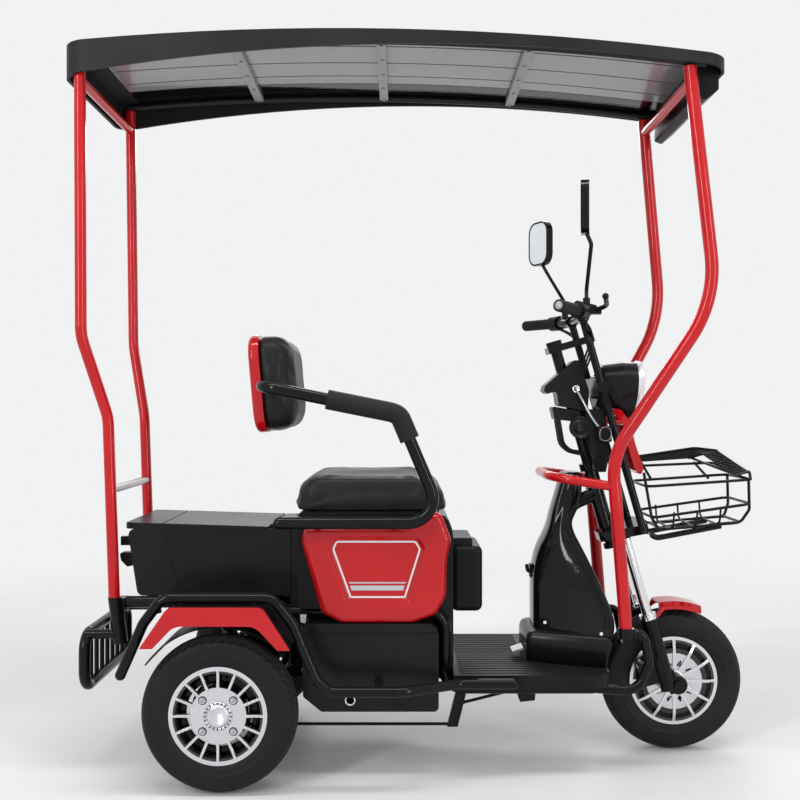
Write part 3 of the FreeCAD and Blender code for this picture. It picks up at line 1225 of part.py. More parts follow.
def roof_frame():
    """Two arched rails and three cross ribs below the roof."""
    shapes = []
    depth = ROOF_TOP_WALL + SEAT_GAP + ROOF_RAIL_RADIUS
    for side in (-1, 1):
        y = ROOF_RAIL_HALF_SPACING * side
        line = [V(x, y, arc_at(ROOF_TOP_LINE, x, depth)) for x in (-836, -47, 700)]
        path = Part.Wire([Part.Arc(*line).toShape()])
        ring = Part.Wire(Part.makeCircle(ROOF_RAIL_RADIUS, line[0], path.Edges[0].tangentAt(0)))
        shapes.append(path.makePipeShell([ring], True, False))
    for x in RIB_PLACES:
        z = arc_at(ROOF_TOP_LINE, x, depth)
        half = ROOF_RAIL_HALF_SPACING
        shapes.append(box(x - RIB_WIDTH / 2, x + RIB_WIDTH / 2, -half, half, z - 7, z + 7))
    return fuse(shapes)


def post_top(x):
    depth = ROOF_TOP_WALL + SEAT_GAP + ROOF_RAIL_RADIUS
    return arc_at(ROOF_TOP_LINE, x, depth) - ROOF_RAIL_RADIUS - 2 * SEAT_GAP


def rear_post_points(side):
    low = SOCKET_HALF_SPACING
    return [(REAR_POST_X, 224 * side, post_top(REAR_POST_X)), (REAR_POST_X + 6, 234 * side, 1080),
            (SOCKET_X - 16, low * side, 880), (SOCKET_X, low * side, REAR_POST_FOOT - 20)]


def rear_post(side, grow=0.0):
    post = tube(rear_post_points(side), REAR_POST_RADIUS + grow, [120, 120])
    return below(above(post, REAR_POST_FOOT + SEAT_GAP), post_top(REAR_POST_X - REAR_POST_RADIUS))


def rear_cross_bar():
    """Bright bar between the two rear posts, behind the lid of the box."""
    half = SOCKET_HALF_SPACING
    x = SOCKET_X - 16 * (CROSS_BAR_HEIGHT - REAR_POST_FOOT) / (880 - REAR_POST_FOOT)
    bar = rod((x, -half, CROSS_BAR_HEIGHT), (x, half, CROSS_BAR_HEIGHT), 10)
    return cut(bar, [rear_post(-1, SEAT_GAP), rear_post(1, SEAT_GAP)])


def rear_roof_frame():
    """Two bent posts behind the box, joined by a bar under the roof."""
    z = post_top(REAR_POST_X) - 56
    bar = rod((REAR_POST_X - 1, -225, z), (REAR_POST_X - 1, 225, z), 12)
    return fuse([rear_post(-1), rear_post(1), bar])


def front_post_points(side):
    top = (FRONT_POST_X, ROOF_RAIL_HALF_SPACING * side, post_top(FRONT_POST_X))
    return [top, (716, 252 * side, 1165), (486, 157 * side, 785), (521, 156 * side, FRONT_POST_FOOT - 10)]


def front_roof_frame():
    """Two long bent posts, a bar across their tops and the loop around the column at knee height."""
    shapes = []
    for side in (-1, 1):
        post = tube(front_post_points(side), FRONT_POST_RADIUS, [300, 190])
        shapes.append(below(above(post, FRONT_POST_FOOT), post_top(FRONT_POST_X + FRONT_POST_RADIUS)))
    z = post_top(FRONT_POST_X) - 38
    half = ROOF_RAIL_HALF_SPACING
    shapes.append(rod((FRONT_POST_X + 4, -half, z), (FRONT_POST_X + 4, half, z), 13))
    shapes.append(tube([(490, -156, 706), (336, -138, 729), (336, 138, 729), (490, 156, 706)], 12, 84))
    return fuse(shapes)


def roof_visor():
    """Folded screen under the front edge of the roof."""
    rear_top = arc_at(ROOF_TOP_LINE, 686, ROOF_TOP_WALL) - SEAT_GAP
    front_top = arc_at(ROOF_TOP_LINE, 738, ROOF_TOP_WALL) - SEAT_GAP
    outline = [(686, rear_top), (738, front_top), (738, 1688), (706, 1662), (686, 1670)]
    return side_slab(outline, [1, 1, 6, 6, 6], -204, 204)


PARTS = {
    "main_frame": main_frame, "side_rails": side_rails, "rear_bumper": rear_bumper, "rear_axle": rear_axle,
    "rear_shocks": rear_shocks, "battery_case": battery_case, "seat_pedestal": seat_pedestal,
    "seat_base": seat_base, "front_tool_box": front_tool_box, "seat_cushion": seat_cushion,
    "armrest_frame": armrest_frame, "armrest_pads": armrest_pads, "backrest_cushion": backrest_cushion,
    "backrest_shell": backrest_shell, "cargo_tub": cargo_tub, "box_latches": box_latches,
    "floor_board": floor_board, "leg_shield": leg_shield, "front_guard": front_guard,
    "brake_linkage": brake_linkage, "brake_pedal": brake_pedal, "roof_panel": roof_panel,
    "roof_frame": roof_frame, "rear_roof_frame": rear_roof_frame, "front_roof_frame": front_roof_frame,
    "rear_cross_bar": rear_cross_bar, "roof_visor": roof_visor, "fork_legs": fork_legs,
    "fork_tubes": fork_tubes, "steering_stem": steering_stem, "handlebar": handlebar, "grips": grips,
    "hand_controls": hand_controls, "mirrors": mirrors, "mirror_glasses": mirror_glasses,
    "display": display, "headlight_shell": headlight_shell, "headlight_ring": headlight_ring,
    "headlight_lens": headlight_lens, "lamp_bracket": lamp_bracket, "column_cover": column_cover,
    "front_cowl": front_cowl, "basket": basket, "front_fender": front_fender, "front_wheel_rim": front_rim,
    "brake_disc": brake_disc, "front_tyre": lambda: tyre(FRONT_CENTRE), "cargo_lid": cargo_lid,
}
for name, sign in (("right", -1), ("left", 1)):
    PARTS["side_panel_" + name] = lambda sign=sign: side_panel(sign)
    PARTS["fender_" + name] = lambda sign=sign: fender(sign)
    PARTS["fender_trim_" + name] = lambda sign=sign: fender_trim(sign)
    PARTS["rear_wheel_rim_" + name] = lambda name=name: rear_rim(name)
    PARTS["rear_tyre_" + name] = lambda name=name: tyre(REAR_CENTRES[name])

os.makedirs("parts", exist_ok=True)
for node, make in PARTS.items():
    make().exportStep("parts/" + node + ".step")
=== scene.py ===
import json
import math

import bmesh
import bpy
from mathutils import Matrix, Vector


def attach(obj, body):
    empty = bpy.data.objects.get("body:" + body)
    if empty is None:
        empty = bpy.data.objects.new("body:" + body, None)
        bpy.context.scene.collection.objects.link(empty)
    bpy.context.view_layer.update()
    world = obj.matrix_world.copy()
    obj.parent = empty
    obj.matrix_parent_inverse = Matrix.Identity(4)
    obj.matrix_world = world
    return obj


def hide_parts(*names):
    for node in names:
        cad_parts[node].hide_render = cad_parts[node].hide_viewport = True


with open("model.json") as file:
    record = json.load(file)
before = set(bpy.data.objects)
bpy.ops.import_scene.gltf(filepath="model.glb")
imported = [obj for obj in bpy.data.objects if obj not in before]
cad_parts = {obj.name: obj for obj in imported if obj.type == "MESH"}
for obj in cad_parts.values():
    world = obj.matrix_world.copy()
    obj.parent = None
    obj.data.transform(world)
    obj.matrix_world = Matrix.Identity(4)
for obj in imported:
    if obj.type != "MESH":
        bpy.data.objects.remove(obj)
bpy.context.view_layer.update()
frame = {"nodes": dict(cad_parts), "record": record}
NODES = frame["nodes"]
scene = bpy.context.scene

# Places that repeat the source's, in metres: X runs forward, Y to the left and Z up
REAR_AXLE = Vector((-0.472, 0, 0.185))
FRONT_AXLE = Vector((0.674, 0, 0.185))
HALF_TRACK = 0.297
TYRE_RADIUS = 0.185
SIDES = {"right": -1, "left": 1}
REAR_CENTRES = {side: Vector((REAR_AXLE.x, out * HALF_TRACK, REAR_AXLE.z)) for side, out in SIDES.items()}

# Camera
CAMERA_PLACE = (-0.047, -2.600, 0.911)
CAMERA_LENS = 43.79
CAMERA_SHIFT = 0.00625


def look():
    """A level camera at the vehicle's right side."""
    data = bpy.data.cameras.new("camera")
    camera = bpy.data.objects.new("camera", data)
    scene.collection.objects.link(camera)
    camera.location = CAMERA_PLACE
    camera.rotation_euler = (math.radians(90), 0, 0)
    data.lens = CAMERA_LENS
    data.sensor_width = 36
    data.shift_y = CAMERA_SHIFT
    data.clip_end = 60
    scene.camera = camera
    scene.view_settings.view_transform = "Standard"


look()

# Node helpers
SOCKETS = {"metal": "Metallic", "rough": "Roughness", "coat": "Coat Weight", "coat_rough": "Coat Roughness",
           "spec": "Specular IOR Level", "sheen": "Sheen Weight", "colour": "Base Color",
           "transmission": "Transmission Weight", "ior": "IOR", "alpha": "Alpha"}


class Shader:
    """A new node material, and short calls for the nodes that it needs."""

    def __init__(self, name):
        self.material = bpy.data.materials.new(name)
        self.material.use_nodes = True
        self.tree = self.material.node_tree
        self.body = self.tree.nodes["Principled BSDF"]
        self.place = self.node("ShaderNodeTexCoord").outputs["Object"]

    def node(self, kind, **settings):
        made = self.tree.nodes.new(kind)
        for key, value in settings.items():
            setattr(made, key, value)
        return made

    def feed(self, socket, value):
        """Sets a socket to a number or a colour, or links an output to it."""
        if isinstance(value, (int, float)):
            socket.default_value = value
        elif isinstance(value, (tuple, list)):
            socket.default_value = (*value, 1)
        else:
            self.tree.links.new(value, socket)

    def fill(self, made, **values):
        """Feeds a node's sockets by name, with _ for a space, and gives its outputs."""
        for key, value in values.items():
            self.feed(made.inputs[key.replace("_", " ")], value)
        return made.outputs

    def set(self, **values):
        for key, value in values.items():
            self.feed(self.body.inputs[SOCKETS[key]], value)

    def math(self, operation, *values):
        made = self.node("ShaderNodeMath", operation=operation)
        for socket, value in zip(made.inputs, values):
            self.feed(socket, value)
        return made.outputs[0]

    def length(self, a, b):
        squares = [self.math("MULTIPLY", side, side) for side in (a, b)]
        return self.math("SQRT", self.math("ADD", *squares))

    def noise(self, scale, detail=3.0, rough=0.55):
        made = self.node("ShaderNodeTexNoise")
        return self.fill(made, Scale=scale, Detail=detail, Roughness=rough, Vector=self.place)["Fac"]

    def cells(self, scale):
        return self.fill(self.node("ShaderNodeTexVoronoi"), Scale=scale, Vector=self.place)["Distance"]

    def spread(self, source, low, high, start=0.3, end=0.7, smooth=False):
        """Carries the range from start to end over to the one from low to high."""
        made = self.node("ShaderNodeMapRange", interpolation_type="SMOOTHSTEP" if smooth else "LINEAR")
        return self.fill(made, Value=source, From_Min=start, From_Max=end, To_Min=low, To_Max=high)["Result"]

    def edge(self, source, at, below, above, soft=0.0004, smooth=False):
        """One value below a limit and another above it."""
        return self.spread(source, below, above, at - soft, at + soft, smooth)

    def mix(self, factor, a, b):
        return self.fill(self.node("ShaderNodeMix", data_type="RGBA"), Factor=factor, A=a, B=b)["Result"]

    def tone(self, source, tones):
        """A drift between two colours."""
        return self.mix(self.spread(source, 0, 1), *tones)

    def xyz(self):
        return self.fill(self.node("ShaderNodeSeparateXYZ"), Vector=self.place)

    def bump(self, *heights):
        """Heights laid over one another, each with its distance in metres."""
        normal = None
        for height, distance in heights:
            made = self.node("ShaderNodeBump")
            self.fill(made, Strength=1, Distance=distance, Height=height)
            if normal:
                self.feed(made.inputs["Normal"], normal)
            normal = made.outputs[0]
        self.feed(self.body.inputs["Normal"], normal)


DUST = (0.33, 0.32, 0.31)


def finish_of(name, tones, rough, grain=0.0, grain_scale=900, ripple=0.0, dust=0.0, **fixed):
    """A finish with slow drift of colour and gloss, fine grain and the soft ripple of paint or moulding."""
    s = Shader(name)
    slow = s.noise(6, 4)
    fine = s.noise(90, 5, 0.65)
    tone = s.tone(slow, tones)
    if dust:
        normal = s.node("ShaderNodeNewGeometry").outputs["Normal"]
        up = s.fill(s.node("ShaderNodeSeparateXYZ"), Vector=normal)["Z"]
        facing = s.spread(up, 0, dust, 0.35, 0.95, True)
        settled = s.math("MULTIPLY", facing, s.spread(fine, 0.35, 1, 0.35, 0.75))
        tone = s.mix(settled, tone, DUST)
    s.set(colour=tone, coat_rough=0.06, **fixed)
    low, high = rough
    s.set(rough=s.math("ADD", s.spread(slow, low, (low + high) / 2), s.spread(fine, 0, (high - low) / 2)))
    heights = []
    if ripple:
        heights.append((s.noise(55, 2), ripple))
    if grain:
        heights.append((s.noise(grain_scale, 3, 0.6), grain))
    if heights:
        s.bump(*heights)
    return s.material


# Pairs of colours between which a finish drifts
DEEP_BLACK = ((0.0035, 0.0035, 0.004), (0.006, 0.006, 0.007))
GLASSY_BLACK = ((0.003, 0.003, 0.0035), (0.005, 0.005, 0.006))
MOULDED_BLACK = ((0.006, 0.006, 0.007), (0.010, 0.010, 0.012))
ROOF_BLACK = ((0.010, 0.010, 0.011), (0.020, 0.020, 0.022))
SOFT_BLACK = ((0.007, 0.007, 0.008), (0.013, 0.013, 0.014))
PAINT_RED = ((0.56, 0.008, 0.012), (0.48, 0.006, 0.009))
PANEL_RED = ((0.53, 0.006, 0.010), (0.44, 0.004, 0.007))
RAIL_GREY = ((0.27, 0.27, 0.285), (0.33, 0.33, 0.345))
LINING_GREY = ((0.21, 0.21, 0.225), (0.26, 0.26, 0.275))
BARE_STEEL = ((0.48, 0.48, 0.49), (0.34, 0.34, 0.35))
PLATED = ((0.80, 0.80, 0.82), (0.72, 0.72, 0.75))
LAMP_RIM = ((0.82, 0.82, 0.84), (0.74, 0.74, 0.76))
GALVANISED = ((0.42, 0.42, 0.42), (0.30, 0.30, 0.31))
CAST = ((0.70, 0.71, 0.73), (0.58, 0.59, 0.61))
LINE_PALE = ((0.80, 0.80, 0.81), (0.72, 0.72, 0.74))
LINE_GREY = ((0.52, 0.53, 0.55), (0.46, 0.47, 0.49))

BLACK_PAINT = finish_of("black_paint", DEEP_BLACK, (0.08, 0.17), ripple=0.0002, coat=0.12, spec=0.12,
                        dust=0.015)
RED_PAINT = finish_of("red_paint", PAINT_RED, (0.12, 0.22), ripple=0.0002, coat=0.3, spec=0.2)
RED_GLOSS = finish_of("red_gloss", PANEL_RED, (0.06, 0.12), ripple=0.00025, coat=0.4, spec=0.2)
BLACK_PLASTIC = finish_of("black_plastic", MOULDED_BLACK, (0.30, 0.44), grain=0.00006, grain_scale=1500,
                          spec=0.13, dust=0.03)
GLOSS_PLASTIC = finish_of("gloss_plastic", GLASSY_BLACK, (0.05, 0.11), ripple=0.0003, spec=0.14, coat=0.14,
                          dust=0.008)
SATIN_PLASTIC = finish_of("satin_plastic", MOULDED_BLACK, (0.24, 0.36), grain=0.00002, grain_scale=1500,
                          spec=0.14, coat=0.05)
ROOF_PLASTIC = finish_of("roof_plastic", ROOF_BLACK, (0.40, 0.55), grain=0.0007, grain_scale=330, spec=0.16)
ROOF_LINING = finish_of("roof_lining", LINING_GREY, (0.18, 0.30), ripple=0.0002, coat=0.3, spec=0.4)
GREY_METAL = finish_of("grey_metal", RAIL_GREY, (0.35, 0.5), ripple=0.0001, metal=0.3)
RUBBER = finish_of("rubber", SOFT_BLACK, (0.62, 0.8), grain=0.0001, grain_scale=1100, spec=0.2)
STEEL = finish_of("steel", BARE_STEEL, (0.25, 0.42), grain=0.00002, metal=1.0)
CHROME = finish_of("chrome", PLATED, (0.06, 0.14), ripple=0.00005, metal=1.0)
RING_METAL = finish_of("ring_metal", LAMP_RIM, (0.26, 0.36), metal=0.75)
ZINC = finish_of("zinc", GALVANISED, (0.3, 0.5), metal=1.0)
ALLOY_BRIGHT = finish_of("alloy_bright", CAST, (0.16, 0.28), grain=0.00003, metal=0.9)
WHITE_LINE = finish_of("white_line", LINE_PALE, (0.25, 0.4), coat=0.3)
SILVER_LINE = finish_of("silver_line", LINE_GREY, (0.25, 0.4), coat=0.3)


def vinyl():
    """Soft black vinyl with a pebbled grain and finer creases."""
    s = Shader("vinyl")
    pebbles = s.cells(520)
    slow = s.noise(9, 4)
    s.set(colour=s.tone(slow, SOFT_BLACK), spec=0.17, coat=0.04, sheen=0.02,
          rough=s.math("ADD", s.spread(slow, 0.34, 0.44), s.spread(pebbles, 0.0, 0.12)))
    s.bump((s.noise(38, 3), 0.0007), (pebbles, 0.00035), (s.noise(1800, 2), 0.00008))
    return s.material


def foam():
    """Matt closed-cell foam with a skin of tiny pores."""
    s = Shader("foam")
    slow = s.noise(14, 4)
    s.set(colour=s.tone(slow, SOFT_BLACK), spec=0.22, rough=s.spread(slow, 0.55, 0.75), sheen=0.04)
    s.bump((s.cells(1500), 0.0003), (s.noise(60, 3), 0.0006))
    return s.material


def axis_distance(s, centre):
    """Distance from a wheel's axis, and the place across the vehicle."""
    x, y, z = s.xyz()
    return s.length(s.math("SUBTRACT", x, centre.x), s.math("SUBTRACT", z, centre.z)), y


def turning_marks(s, radius, detail):
    made = s.node("ShaderNodeTexNoise", noise_dimensions="1D")
    return s.fill(made, W=radius, Scale=2600, Detail=detail)["Fac"]


def tyre_rubber(name, centre):
    """Black rubber, paler with dust on the tread."""
    s = Shader(name)
    radius = axis_distance(s, centre)[0]
    tread = s.spread(radius, 0, 1, 0.172, 0.183, True)
    blotch = s.noise(45, 5, 0.7)
    dust = s.math("MULTIPLY", tread, s.spread(blotch, 0.25, 0.8))
    base = s.tone(s.noise(8, 4), ((0.006, 0.006, 0.007), (0.011, 0.011, 0.012)))
    s.set(colour=s.mix(dust, base, (0.032, 0.031, 0.030)), spec=0.2,
          rough=s.math("ADD", s.spread(blotch, 0.5, 0.62), s.math("MULTIPLY", tread, 0.22)))
    s.bump((s.noise(700, 3), 0.00012))
    return s.material


def turned_metal(name, centre, paint_from):
    """Bright disc with turning marks, painted black beyond a radius."""
    s = Shader(name)
    radius = axis_distance(s, centre)[0]
    marks = turning_marks(s, radius, 2)
    bright = s.tone(marks, ((0.66, 0.67, 0.69), (0.50, 0.51, 0.53)))
    bare = s.edge(radius, paint_from, 1, 0)
    s.set(colour=s.mix(bare, (0.008, 0.008, 0.009), bright), metal=s.math("MULTIPLY", bare, 0.9),
          rough=s.math("ADD", s.spread(marks, 0.2, 0.3), s.spread(bare, 0.2, 0.0, 0, 1)))
    s.bump((marks, 0.00005))
    return s.material


def alloy(name, centre, face, depth, painted):
    """Cast wheel: black paint in its pockets and on one ring, and a machined face beyond a depth across."""
    s = Shader(name)
    radius, y = axis_distance(s, centre)
    out = s.math("MULTIPLY", s.math("SUBTRACT", y, centre.y), face)
    inner, outer = painted
    ring = s.math("MULTIPLY", s.edge(radius, inner, 0, 1), s.edge(radius, outer, 1, 0))
    machined = s.math("MULTIPLY", s.edge(out, depth, 0, 1, 0.0006, True), s.math("SUBTRACT", 1.0, ring))
    marks = turning_marks(s, radius, 3)
    blotch = s.noise(60, 4)
    bright = s.tone(marks, ((0.72, 0.73, 0.75), (0.58, 0.59, 0.61)))
    dark = s.tone(blotch, ((0.014, 0.014, 0.015), (0.03, 0.03, 0.032)))
    s.set(colour=s.mix(machined, dark, bright), metal=s.math("MULTIPLY", machined, 0.95),
          rough=s.math("ADD", s.spread(marks, 0.16, 0.24), s.spread(machined, 0.18, 0.0, 0, 1)))
    s.bump((s.math("MULTIPLY", marks, machined), 0.00005), (blotch, 0.0001))
    return s.material


def mirror_glass():
    s = Shader("mirror_glass")
    smear = s.noise(30, 5, 0.7)
    s.set(colour=s.tone(smear, ((0.86, 0.88, 0.89), (0.78, 0.80, 0.82))), metal=1.0,
          rough=s.spread(smear, 0.01, 0.05))
    return s.material


def lens_glass():
    """Clear lens with upright flutes moulded in it."""
    s = Shader("lens_glass")
    flutes = s.math("SINE", s.math("MULTIPLY", s.xyz()["Y"], 520))
    s.set(colour=s.tone(s.noise(40), ((0.95, 0.97, 1.0), (0.90, 0.93, 0.97))), transmission=0.92,
          ior=1.45, rough=s.spread(s.noise(200), 0.02, 0.05))
    s.bump((flutes, 0.0006))
    return s.material


def roof_rails():
    """Grey ribs between black outer rails."""
    s = Shader("roof_rails")
    rail = s.spread(s.math("ABSOLUTE", s.xyz()["Y"]), 0, 1, 0.2155, 0.2165)
    grey = s.tone(s.noise(6, 4), RAIL_GREY)
    s.set(colour=s.mix(rail, grey, (0.012, 0.012, 0.013)), spec=0.3,
          rough=s.spread(s.noise(90, 5), 0.32, 0.5))
    s.bump((s.noise(55, 2), 0.0001))
    return s.material


VINYL = vinyl()
FOAM = foam()
TYRE_FINISH = {side: tyre_rubber("tyre_" + side, centre)
               for side, centre in {"front": FRONT_AXLE, **REAR_CENTRES}.items()}

BY_SLOT = {"frame_paint": BLACK_PAINT, "basket_paint": BLACK_PAINT, "black_plastic": BLACK_PLASTIC,
           "roof_plastic": ROOF_PLASTIC, "roof_metal": GREY_METAL, "red_gloss": RED_GLOSS, "vinyl": VINYL,
           "foam": FOAM, "tyre": RUBBER, "alloy": CHROME, "steel": STEEL, "chrome": CHROME,
           "mirror_glass": mirror_glass(), "lens": lens_glass(), "frame_red": RED_PAINT}
SLOTS = {row["node"]: row["material_slot"] for row in frame["record"]["subparts"]}
OWN = {"leg_shield": GLOSS_PLASTIC, "headlight_shell": SATIN_PLASTIC, "grips": RUBBER,
       "column_cover": SATIN_PLASTIC, "brake_linkage": BLACK_PAINT, "battery_case": SATIN_PLASTIC,
       "cargo_tub": SATIN_PLASTIC, "cargo_lid": SATIN_PLASTIC, "mirrors": GLOSS_PLASTIC,
       "roof_frame": roof_rails(), "headlight_ring": RING_METAL,
       "brake_disc": turned_metal("disc_metal", FRONT_AXLE, 0.0735),
       "front_wheel_rim": alloy("alloy_front", FRONT_AXLE, -1, 0.0215, (0.0990, 0.1070))}
for side, out in SIDES.items():
    OWN["rear_wheel_rim_" + side] = alloy("alloy_" + side, REAR_CENTRES[side], out, 0.0315, (0.0985, 0.1055))


def dress(o, material):
    o.data.materials.clear()
    o.data.materials.append(material)


for name, o in NODES.items():
    dress(o, OWN.get(name, BY_SLOT[SLOTS[name]]))

# Stage: a floor disc that fades out into a white surround
FLOOR_RADIUS = 6.0
FLOOR_FADE = (1.6, 3.6)
FLOOR_TONES = ((0.80, 0.80, 0.81), (0.76, 0.76, 0.77))
SURROUND = (0.88, 0.885, 0.89, 1)
SKY_LIGHT = 0.55


def lay_floor():
    bpy.ops.mesh.primitive_circle_add(vertices=96, radius=FLOOR_RADIUS, fill_type="NGON",
                                      location=(0, 0, -0.0005))
    floor = bpy.context.object
    floor.name = "floor"
    s = Shader("floor_paint")
    x, y, z = s.xyz()
    s.set(colour=s.tone(s.noise(2.5, 5), FLOOR_TONES), spec=0.3, rough=s.spread(s.noise(5, 4), 0.35, 0.5),
          alpha=s.spread(s.length(x, y), 1, 0, *FLOOR_FADE, True))
    dress(floor, s.material)


def surround():
    """White behind the vehicle, in mirrors and through glass, with a dimmer light from it."""
    world = bpy.data.worlds.new("surround")
    scene.world = world
    world.use_nodes = True
    tree = world.node_tree
    tree.nodes.clear()
    path = tree.nodes.new("ShaderNodeLightPath")
    seen = path.outputs["Is Camera Ray"]
    for other in ("Is Glossy Ray", "Is Transmission Ray"):
        most = tree.nodes.new("ShaderNodeMath")
        most.operation = "MAXIMUM"
        tree.links.new(seen, most.inputs[0])
        tree.links.new(path.outputs[other], most.inputs[1])
        seen = most.outputs[0]
    shown = tree.nodes.new("ShaderNodeBackground")
    shown.inputs["Color"].default_value = SURROUND
    light = tree.nodes.new("ShaderNodeBackground")
    light.inputs["Color"].default_value = (1, 1, 1, 1)
    light.inputs["Strength"].default_value = SKY_LIGHT
    either = tree.nodes.new("ShaderNodeMixShader")
    out = tree.nodes.new("ShaderNodeOutputWorld")
    tree.links.new(seen, either.inputs[0])
    tree.links.new(light.outputs[0], either.inputs[1])
    tree.links.new(shown.outputs[0], either.inputs[2])
    tree.links.new(either.outputs[0], out.inputs[0])


def lamp(name, place, aim_height, size, watts):
    """A wide soft lamp that looks at a height on the middle of the vehicle."""
    data = bpy.data.lights.new(name, "AREA")
    data.shape = "RECTANGLE"
    data.size, data.size_y = size
    data.energy = watts
    o = bpy.data.objects.new(name, data)
    scene.collection.objects.link(o)
    o.location = place
    aim = Vector((0, 0, aim_height)) - Vector(place)
    o.rotation_euler = aim.to_track_quat("-Z", "Y").to_euler()


lay_floor()
surround()
lamp("top_light", (0.0, -0.6, 3.4), 0.4, (3.2, 0.55), 55)
lamp("key_light", (-2.4, -3.2, 2.4), 0.7, (0.40, 2.4), 60)
lamp("fill_light", (2.8, -2.8, 1.5), 0.7, (0.35, 2.2), 38)
lamp("rear_light", (0.4, 3.2, 2.6), 0.8, (3.0, 0.5), 40)


# Mesh helpers
def put(name, mesh, material, body, smooth):
    """Hangs a mesh on a body as a new piece."""
    o = bpy.data.objects.new(name, mesh)
    scene.collection.objects.link(o)
    if smooth:
        mesh.polygons.foreach_set("use_smooth", [True] * len(mesh.polygons))
    dress(o, material)
    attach(o, body)
    return o


def mesh_piece(name, points, faces, material, body, smooth):
    mesh = bpy.data.meshes.new(name)
    mesh.from_pydata([tuple(p) for p in points], [], faces)
    mesh.validate()
    return put(name, mesh, material, body, smooth)


def face_outwards(o):
    fix = bmesh.new()
    fix.from_mesh(o.data)
    bmesh.ops.recalc_face_normals(fix, faces=fix.faces)
    fix.to_mesh(o.data)
    fix.free()


def wires(name, runs, radius, material, body="chassis", sides=6, bends=12,
          closed=False):
    """Round wires along runs of points, each drawn as a smooth NURBS line."""
    curve = bpy.data.curves.new(name, "CURVE")
    curve.dimensions = "3D"
    curve.bevel_depth = radius
    curve.bevel_resolution = sides
    curve.resolution_u = bends
    curve.use_fill_caps = True
    for points in runs:
        spline = curve.splines.new("NURBS")
        spline.points.add(len(points) - 1)
        for point, place in zip(spline.points, points):
            point.co = (*place, 1)
        spline.order_u = 3
        spline.use_endpoint_u = not closed
        spline.use_cyclic_u = closed
    drawn = bpy.data.objects.new(name + "_drawn", curve)
    scene.collection.objects.link(drawn)
    bpy.context.view_layer.update()
    mesh = bpy.data.meshes.new_from_object(drawn.evaluated_get(bpy.context.evaluated_depsgraph_get()))
    bpy.data.objects.remove(drawn)
    bpy.data.curves.remove(curve)
    mesh.name = name
    return put(name, mesh, material, body, True)


def bent(points, bend):
    """A run with a point before and after each inner corner, so that its bend stays near the corner."""
    points = [Vector(p) for p in points]
    out = [points[0]]
    for before, corner, after in zip(points, points[1:], points[2:]):
        reach = [(other - corner).normalized() * min(bend, 0.48 * (other - corner).length)
                 for other in (before, after)]
        out += [corner + reach[0], corner, corner + reach[1]]
    out.append(points[-1])
    return out


def band(rings, count, closed=False):
    """Faces from each ring of count points to the next, and from the last to the first if closed."""
    faces = []
    for i in range(rings if closed else rings - 1):
        j = (i + 1) % rings
        for k in range(count):
            n = (k + 1) % count
            faces.append((i * count + k, i * count + n, j * count + n, j * count + k))
    return faces


def bar(rings):
    """Points and faces of a bar over rings of points, closed at both ends."""
    count = len(rings[0])
    last = count * (len(rings) - 1)
    caps = [tuple(range(count)), tuple(range(last + count - 1, last - 1, -1))]
    return [Vector(p) for ring in rings for p in ring], caps + band(len(rings), count)


def slab(outline, y0, y1):
    """A flat plate from a side outline, between two places across."""
    return bar([[(x, y, z) for x, z in outline] for y in (y0, y1)])


def block(x0, x1, y0, y1, z0, z1):
    return slab([(x0, z0), (x1, z0), (x1, z1), (x0, z1)], y0, y1)


def turned_ring(centre, profile, angle, out=1):
    """A profile of (out, radius) pairs, turned by an angle about an axis that runs across."""
    return [Vector((centre.x + radius * math.sin(angle), centre.y + across * out,
                    centre.z + radius * math.cos(angle))) for across, radius in profile]


def lathe(profile, centre, out, steps=64):
    """Points and faces of a profile turned all the way round."""
    points = [p for i in range(steps) for p in turned_ring(centre, profile, 2 * math.pi * i / steps, out)]
    return points, band(steps, len(profile), True)


def hexagon(place, radius, out, height):
    """A six-sided bolt head that faces sideways."""
    corners = [math.radians(60 * i + 15) for i in range(6)]
    return bar([[place + Vector((radius * math.cos(a), across * out, radius * math.sin(a))) for a in corners]
                for across in (0.0, height)])


def merged(name, parts, material, body="chassis", smooth=False, edge=0.0, steps=2):
    """One piece from several lists of points and faces, with its sharp edges rounded if edge is set."""
    points, faces = [], []
    for part_points, part_faces in parts:
        start = len(points)
        points += part_points
        faces += [tuple(start + i for i in face) for face in part_faces]
    o = mesh_piece(name, points, faces, material, body, smooth)
    face_outwards(o)
    if edge:
        rounded = o.modifiers.new("round", "BEVEL")
        rounded.width = edge
        rounded.segments = steps
        rounded.limit_method = "ANGLE"
        rounded.angle_limit = math.radians(35)
        rounded.harden_normals = True
    return o


def loft(name, rings, material):
    """A smooth skin over rings of points, closed at both ends."""
    count = len(rings[0])
    last = count * (len(rings) - 1)
    faces = band(len(rings), count) + [tuple(range(count))[::-1], tuple(range(last, last + count))]
    o = mesh_piece(name, [p for ring in rings for p in ring], faces, material, "chassis", True)
    face_outwards(o)
    return o


# Tyres: grooves round the middle, blocks on the shoulders and short cuts between the grooves
TYRE_STEPS = 288
TREAD_LINES = 30
TREAD_EDGE = 0.0357
TREAD_FALL = 0.0125
TREAD_FROM = 0.165
BLOCKS = 48
GROOVE_AT, GROOVE_HALF, GROOVE_DEPTH = 0.0115, 0.0024, 0.0030
SHOULDER_FROM, SHOULDER_TO, SHOULDER_DEPTH = 0.0155, 0.0375, 0.0026
CUT_TO, CUT_DEPTH = 0.0085, 0.0016
TYRE_WALL = [(-0.0307, 0.1083), (-0.0325, 0.113), (-0.0352, 0.1185), (-0.0362, 0.1192), (-0.0366, 0.1212),
             (-0.0372, 0.1222), (-0.0386, 0.131), (-0.0394, 0.139), (-0.0399, 0.1396), (-0.0399, 0.1412),
             (-0.0396, 0.1420), (-0.0399, 0.150), (-0.0396, 0.157), (-0.0388, 0.164), (-0.0374, 0.1692)]
